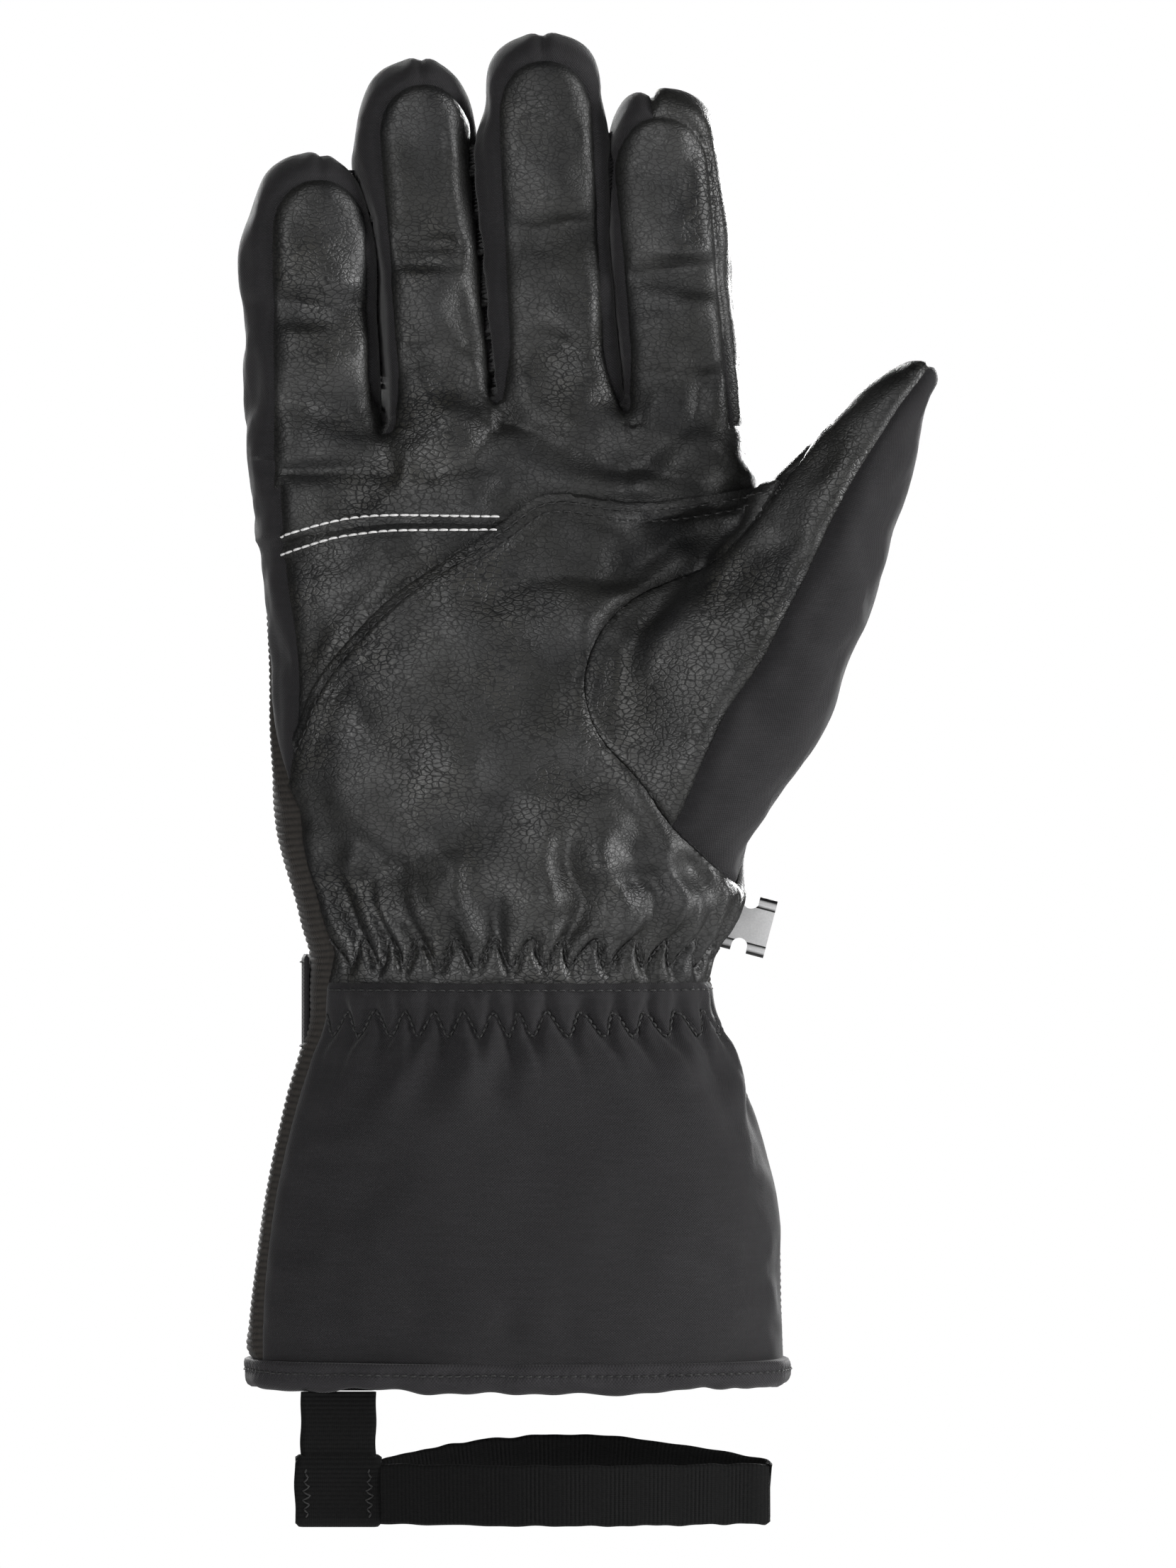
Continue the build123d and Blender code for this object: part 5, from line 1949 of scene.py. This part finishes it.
def band_on_back(name, x_low, x_high, z_low, z_high, inner, outer, material, front_y=0.0):
    """A flat strip lying on the back of the cuff at a distance from its surface."""
    angles = np.radians(np.linspace(-48, 170, 700))
    middle = (z_low + z_high) / 2
    line = section_points(shifted(hand_sdf, (inner + outer) / 2), [middle], angles)
    chosen = line[(line[:, 1] > front_y) & (line[:, 0] > x_low) & (line[:, 0] < x_high)]
    path = dense(chosen, 0.24)
    if name == "wrist_strap_cloth":
        path[:, 1] += 0.4 * np.sin(np.linspace(0, 3.0, len(path)))
    half_width, half_thickness = (z_high - z_low) / 2, (outer - inner) / 2
    return ribbon(name, path, (0, 0, 1), half_width, half_thickness, material, 1.2, 0.08), path


def make_strap():
    low, high = node_box("wrist_strap")
    z_low, z_high = low[2], high[2] + 1.5
    patch_low, patch_high = z_low + 1.5, z_high - 1.5
    fold_x = joint_pos("strap_peel")[0]
    end_x = high[0]
    loop_patch, _ = band_on_back("strap_loop_patch_cloth", -30, 36, patch_low, patch_high, 0.1, 1.0, "fleece")
    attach(loop_patch, "cuff")
    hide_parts("strap_loop_patch")
    hook_patch, _ = band_on_back("strap_hook_patch_cloth", -6, end_x - 2, patch_low, patch_high, 1.1, 2.0,
                                 "hook_tape")
    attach(hook_patch, "wrist_strap")
    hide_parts("strap_hook_patch")
    root, root_path = band_on_back("strap_root_cloth", -90, fold_x - 4.0, z_low, z_high, 0.35, 1.5,
                                   "strap_face", -7.0)
    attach(root, "cuff")
    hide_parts("strap_root")
    strap, strap_path = band_on_back("wrist_strap_cloth", fold_x - 4.3, end_x, z_low, z_high, 2.1, 4.0,
                                     "strap_face")
    follow_strap(strap)
    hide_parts("wrist_strap")
    return root_path, strap_path, z_low, z_high


def make_clip_loop():
    """Webbing from the back of the cuff, round the clip's bar and back."""
    centre = joint_pos("clip_swing")
    drop = math.radians(14.8)
    along = np.array([math.cos(drop), 0, -math.sin(drop)])
    across = np.array([math.sin(drop), 0, math.cos(drop)])
    inner, outer = 1.35, 2.25
    r = (inner + outer) / 2
    turn = np.radians(np.linspace(-90, 90, 30))
    start = centre - along * 15.5
    surface = section_points(hand_sdf, [start[2]], np.radians([118.0]))[0]
    rest = surface[1] + 1.4 - centre[1]  # how far behind the clip's bar the ends lie
    far = [centre - along * d + np.array([0, y, 0]) for d, y in
           ((15.5, rest + 0.5), (11, rest * 0.8 + 1.0), (6.5, r * 0.9), (2.0, r))]
    near = [centre - along * d + np.array([0, y, 0]) for d, y in
            ((2.0, -r), (6.5, -r * 0.9), (11, rest * 0.9 - 0.9), (15.5, rest - 0.5))]
    bend = [centre + along * r * math.cos(a) + np.array([0, -r * math.sin(a), 0]) for a in turn]
    path = dense(far + bend + near, 0.25)
    obj = ribbon("clip_loop_webbing", path, across, 4.4, (outer - inner) / 2, "webbing", 1.0, 0.12)
    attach(obj, "cuff")
    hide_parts("clip_loop")


LEASH_RAISE = 1.3  # how much higher than in the CAD the wrap and the loop sit
FAR_BAND_RAISE = 5.4  # how much higher the loop's far band is than its near one


def make_leash():
    stem_low, stem_high = node_box("leash_stem")
    wrap_low, wrap_high = node_box("leash_wrap")
    loop_low, loop_high = node_box("leash_loop")
    ends_low, ends_high = node_box("leash_loop_ends")
    centre = (stem_low + stem_high) / 2
    half = (stem_high[0] - stem_low[0]) / 2
    top = stem_high[2]
    path = [(centre[0], centre[1], top), (centre[0], centre[1], stem_low[2] - 1 + LEASH_RAISE)]
    stem = ribbon("leash_stem_webbing", dense(path, 0.2), (1, 0, 0), half, 0.95, "webbing", 1.08, 0.30)
    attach(stem, "leash")
    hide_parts("leash_stem")
    tab_path = dense([(centre[0], centre[1] + 0.3, 5.6), (centre[0], centre[1] + 0.3, top + 0.3)], 0.2)
    tab = ribbon("leash_tab_webbing", tab_path, (1, 0, 0), half - 0.5, 0.7, "webbing", 1.08, 0.2)
    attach(tab, "cuff")
    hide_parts("leash_tab")
    # the wrap: the tape's end folded round the loop's ends and sewn back on itself
    x, y = centre[0], centre[1]
    depth = (wrap_high[1] - wrap_low[1]) / 2 - 0.8
    z_top, z_low = wrap_high[2] + 0.2 + LEASH_RAISE, wrap_low[2] + 0.8 + LEASH_RAISE
    corner = 1.6
    front = [(x, y - 0.9, z_top), (x, y - depth * 0.92, z_top - 1.6), (x, y - depth, z_top - 3.5)]
    back = [(x, y + depth, z_top - 3.5), (x, y + depth * 0.92, z_top - 1.6), (x, y + 0.9, z_top)]
    bend = [(x, y - depth * math.cos(a), z_low + corner - corner * math.sin(a))
            for a in np.radians(np.linspace(0, 180, 24))]
    path = front + bend + back
    wrap_half = (wrap_high[0] - wrap_low[0]) / 2 + 0.1
    wrap = ribbon("leash_wrap_webbing", dense(path, 0.2), (1, 0, 0), wrap_half, 0.8, "webbing", 1.08, 0.30)
    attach(wrap, "leash")
    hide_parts("leash_wrap")
    mid_z = (ends_low[2] + ends_high[2]) / 2 + 0.8 + LEASH_RAISE
    half_z = (ends_high[2] - ends_low[2]) / 2 + 0.5
    for i, side in enumerate((-1, 1)):
        line = [(ends_low[0] + 0.4, y + side * 0.85, mid_z), (ends_high[0] + 3.2, y + side * 0.95, mid_z)]
        part = ribbon(f"leash_loop_end_{i}", dense(line, 0.25), (0, 0, 1), half_z, 0.72, "webbing", 0.95,
                      0.14)
        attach(part, "leash")
        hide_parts("leash_loop_ends")
    left, right = ends_high[0] - 0.6, loop_high[0] - 0.8
    t = np.linspace(0, 1, 60)
    bulge = (loop_high[1] - loop_low[1]) / 2 - 1.2
    shape = np.sin(math.pi * t) ** 0.85
    near_y = y - 1.0 - (bulge - 1.0) * shape * (1 - 0.15 * t) - 3.4 * t**3
    near = np.stack([left + (right - 7 - left) * t, near_y, 0 * t], 1)
    tip_y = near[-1, 1] - y
    turn = np.radians(np.linspace(-80, 80, 26))
    tip = np.stack([right - 7 + 7 * np.cos(turn), y + abs(tip_y) * np.sin(turn), 0 * turn], 1)
    far = near[::-1] * np.array([1, -1, 1]) + np.array([0, 2 * y, 0])
    ring = np.vstack([near[:-1], tip, far[1:]])
    for _ in range(3):
        ring[1:-1] = 0.25 * ring[:-2] + 0.5 * ring[1:-1] + 0.25 * ring[2:]
    ring[:, 2] = mid_z
    sag = np.clip((ring[:, 0] - left) / (right - left), 0, 1)
    ring[:, 2] += FAR_BAND_RAISE * np.clip((ring[:, 1] - y) / bulge, 0, 1) + 0.6 * np.sin(math.pi * sag)
    loop = ribbon("leash_loop_webbing", dense(ring, 0.24), (0, 0, 1), half_z + 0.2, 0.75, "webbing", 0.95,
                  0.16)
    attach(loop, "leash_loop")
    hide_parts("leash_loop")
    return x, y, z_top, z_low


# The two rows of white stitches, as x and z.
WHITE_STITCHES = {
    "white_stitch_upper": [(-57.5, 205.6), (-56.8, 205.9), (-43.9, 209.6), (-32.4, 210.9), (-19.1, 210.8),
                           (-2.9, 210.4)],
    "white_stitch_lower": [(-57.5, 201.2), (-56.8, 201.5), (-43.9, 205.6), (-30.5, 207.1), (-19.0, 207.2),
                           (-3.8, 207.2)],
}
# The tack that covers the gap at the thumb's crotch: x and z, then its depth at both ends.
BAR_TACK = [(62.3, 215.4), (63.25, 217.0), (64.2, 218.8)]
BAR_TACK_Y = (-24.1, -22.9)


def make_palm_stitches(tree):
    for seed, (label, points) in enumerate(WHITE_STITCHES.items(), 1):
        p, n = front_line(tree, rounded(np.array(points)))
        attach(row_of_stitches(label, p, n, 2.45, 2.25, 0.31, "white_thread", seed), "hand")
    edge = OVERLAY[(OVERLAY[:, 0] > -58) & (OVERLAY[:, 0] < 64)]
    for label, amount, seed in (("overlay_stitch_outer", 2.0, 3), ("overlay_stitch_inner", 4.3, 4)):
        curve = dense(offset_curve(dense(edge, 1.0), amount), 0.5)
        p, n = front_line(tree, curve)
        keep = thumb_field(p) < -1.5
        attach(row_of_stitches(label, p[keep], n[keep], 2.7, 2.1, 0.24, "black_thread", seed), "hand")
    bar = dense(BAR_TACK, 0.2)
    p = np.stack([bar[:, 0], np.linspace(*BAR_TACK_Y, len(bar)), bar[:, 1]], 1)
    n = np.tile([0.0, -1.0, 0.0], (len(p), 1))
    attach(row_of_stitches("thumb_bar_tack", p, n, 0.9, 1.0, 0.45, "black_thread", 10), "hand")


def make_cuff_stitches(tree):
    arcs = np.arange(-60, 62, 0.4)
    for place, teeth, row in (("upper", UPPER_TEETH, UPPER_ROW), ("lower", LOWER_TEETH, LOWER_ROW)):
        p, n = wrist_line(tree, arcs, zigzag_height(arcs, teeth, row))
        keep = back_field(p) < -0.5
        obj = row_of_stitches("gather_stitch_" + place, p[keep], n[keep], 1.75, 1.55, 0.30, "black_thread", 5,
                              sink=0.05)
        if place == "upper":
            follow_wrist(obj)
        else:
            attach(obj, "cuff")
    p, n = wrist_line(tree, arcs, np.full(len(arcs), SEAM_Z - 1.9))
    keep = back_field(p) < -0.5
    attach(row_of_stitches("seam_stitch", p[keep], n[keep], 2.3, 1.8, 0.22, "black_thread", 6), "cuff")
    angles = np.radians(np.linspace(0, 360, 1400))
    line = section_points(hand_sdf, [3.7], angles)
    n = unit(gradient(line, hand_sdf))
    p, n = cast(tree, line + n * 8, -n)
    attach(row_of_stitches("hem_stitch", p, n, 2.2, 1.75, 0.24, "black_thread", 7), "cuff")


def make_leash_stitches(tree, x, y, z_top, z_low):
    z = np.arange(z_low + 1.5, z_top - 2.0, 0.05)
    zig = 1.1 * (np.abs(((z - z_low) / 1.15) % 2 - 1) * 2 - 1)
    for side, sign in (("front", -1), ("back", 1)):
        for k, shift in enumerate((-7.6, 7.6)):
            origins = np.stack([x + shift + zig, np.full(len(z), y + sign * 12.0), z], 1)
            p, n = cast(tree, origins, np.tile([0.0, -float(sign), 0.0], (len(z), 1)))
            row = row_of_stitches(f"leash_stitch_{side}_{k}", p, n, 2.35, 2.2, 0.2, "black_thread", 8,
                                  arch=0.18)
            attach(row, "leash")


def make_strap_stitches(tree, root_path, strap_path, z_low, z_high):
    for label, path in (("strap_root_stitch", root_path), ("strap_stitch", strap_path)):
        for k, z in enumerate((z_low + 1.8, z_high - 1.8)):
            line = path.copy()
            line[:, 2] = z
            n = unit(gradient(line, hand_sdf) * np.array([1, 1, 0]))
            p, n = cast(tree, line + n * 6, -n)
            obj = row_of_stitches(f"{label}_{k}", p, n, 2.4, 1.9, 0.22, "black_thread", 9)
            if path is root_path:
                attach(obj, "cuff")
            else:
                follow_strap(obj)


def make_stitches(leash, strap):
    tree = skin_tree()
    make_palm_stitches(tree)
    make_cuff_stitches(tree)
    make_leash_stitches(tree, *leash)
    make_strap_stitches(tree, *strap)


# ---------------------------------------------------------------- build, light and camera


# Area lights: name, position in metres, size, power and spread in degrees. All point at LIGHT_TARGET.
LIGHT_TARGET = (0, 0, 0.15)
LIGHTS = (
    ("key", (-0.75, -1.7, 1.05), (0.6, 0.6), 7.5, 180.0),
    ("top_front", (0.0, -1.3, 1.45), (1.0, 0.6), 3.0, 180.0),
    ("front", (-0.3, -2.0, 0.75), (0.5, 0.5), 2.2, 180.0),
    ("right", (1.5, -0.45, 0.35), (0.6, 1.2), 26, 180.0),
    ("below", (-0.5, -1.4, -0.3), (0.8, 0.5), 9, 180.0),
    ("left", (-1.6, -0.9, 0.5), (0.5, 0.9), 1.5, 180.0),
    ("behind_left", (-0.6, 1.9, 0.8), (0.8, 0.8), 5, 50.0),
    ("behind_right", (0.7, 1.8, 0.5), (0.8, 0.8), 4, 50.0),
)


def area_light(name, location, size, energy, spread):
    data = bpy.data.lights.new(name, "AREA")
    data.shape = "RECTANGLE"
    data.size, data.size_y = size
    data.energy = energy
    data.spread = math.radians(spread)
    obj = bpy.data.objects.new(name, data)
    bpy.context.scene.collection.objects.link(obj)
    obj.location = location
    obj.rotation_euler = (Vector(LIGHT_TARGET) - Vector(location)).to_track_quat("-Z", "Y").to_euler()


AMBIENT = 0.03  # strength of the light from all round; the camera sees white instead


def make_world():
    world = bpy.data.worlds.new("studio")
    bpy.context.scene.world = world
    world.use_nodes = True
    tree = world.node_tree
    tree.nodes.clear()
    out = tree.nodes.new("ShaderNodeOutputWorld")
    mix = tree.nodes.new("ShaderNodeMixShader")
    seen, ambient = tree.nodes.new("ShaderNodeBackground"), tree.nodes.new("ShaderNodeBackground")
    seen.inputs["Color"].default_value = (1, 1, 1, 1)
    seen.inputs["Strength"].default_value = 1.0
    ambient.inputs["Color"].default_value = (0.97, 0.98, 1.0, 1)
    ambient.inputs["Strength"].default_value = AMBIENT
    path = tree.nodes.new("ShaderNodeLightPath")
    tree.links.new(path.outputs["Is Camera Ray"], mix.inputs[0])
    tree.links.new(ambient.outputs[0], mix.inputs[1])
    tree.links.new(seen.outputs[0], mix.inputs[2])
    tree.links.new(mix.outputs[0], out.inputs["Surface"])


FLOOR_RADIUS, FLOOR_Z, FLOOR_SIDES = 2.0, -0.45, 64  # in metres


def make_stage():
    centre = (CAD_BOX[0][0] + CAD_BOX[1][0]) / 2
    me = bpy.data.meshes.new("floor")
    ring = [(centre + FLOOR_RADIUS * math.cos(a), FLOOR_RADIUS * math.sin(a), FLOOR_Z)
            for a in np.linspace(0, 2 * math.pi, FLOOR_SIDES, endpoint=False)]
    me.from_pydata(ring, [], [list(range(FLOOR_SIDES))])
    floor = bpy.data.objects.new("floor", me)
    bpy.context.scene.collection.objects.link(floor)
    n = Nodes("floor")
    n.finish((0.86, 0.86, 0.86, 1), 0.7, specular=0.2)
    path = n.tree.nodes.new("ShaderNodeLightPath")
    n.shader.inputs["Emission Color"].default_value = (1, 1, 1, 1)
    n.link(n.math("MULTIPLY", path.outputs["Is Camera Ray"], 0.55), n.shader.inputs["Emission Strength"])
    me.materials.append(MATERIAL["floor"])


CAMERA_POSITION = (17.2, -2200.0, 145.9)  # in millimetres
CAMERA_LENS = 207.6


def make_camera():
    data = bpy.data.cameras.new("camera")
    data.sensor_fit = "VERTICAL"
    data.sensor_height = 36.0
    data.lens = CAMERA_LENS
    data.clip_start, data.clip_end = 0.05, 20.0
    camera = bpy.data.objects.new("camera", data)
    bpy.context.scene.collection.objects.link(camera)
    camera.location = metres(CAMERA_POSITION)
    camera.rotation_euler = (math.pi / 2, 0, 0)
    bpy.context.scene.camera = camera


CLIP_EDGE_RADIUS = 0.0007  # in metres


def dress_clip():
    """The clip is the one CAD solid that shows: it gets its plastic, with a painted reflection on its front
    and back faces, and rounded edges.
    """
    clip = bpy.data.objects["clip"]
    clip.data.materials.clear()
    clip.data.materials.append(MATERIAL["clip_plastic"])
    rounding = clip.modifiers.new("rounded_edges", "BEVEL")
    rounding.width = CLIP_EDGE_RADIUS
    rounding.segments = 3
    rounding.limit_method = "ANGLE"


def main():
    bpy.context.scene.view_settings.view_transform = "Standard"
    make_materials()
    objects = build_skin()
    objects["back_panel"] = ribbed_panel("back_panel", BACK_SPLIT_Z - 0.2, KNUCKLE_SEAM_Z + 0.6)
    objects["cuff_back_panel"] = ribbed_panel("cuff_back_panel", HEM_TOP - 1.6, BACK_SPLIT_Z)
    place_skin(objects)
    hem = hem_binding()
    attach(hem, "cuff")
    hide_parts("hem_binding")
    inner_layers()
    strap = make_strap()
    make_clip_loop()
    leash = make_leash()
    make_stitches(leash, strap)
    dress_clip()
    make_world()
    make_stage()
    make_camera()
    for light in LIGHTS:
        area_light(*light)


main()
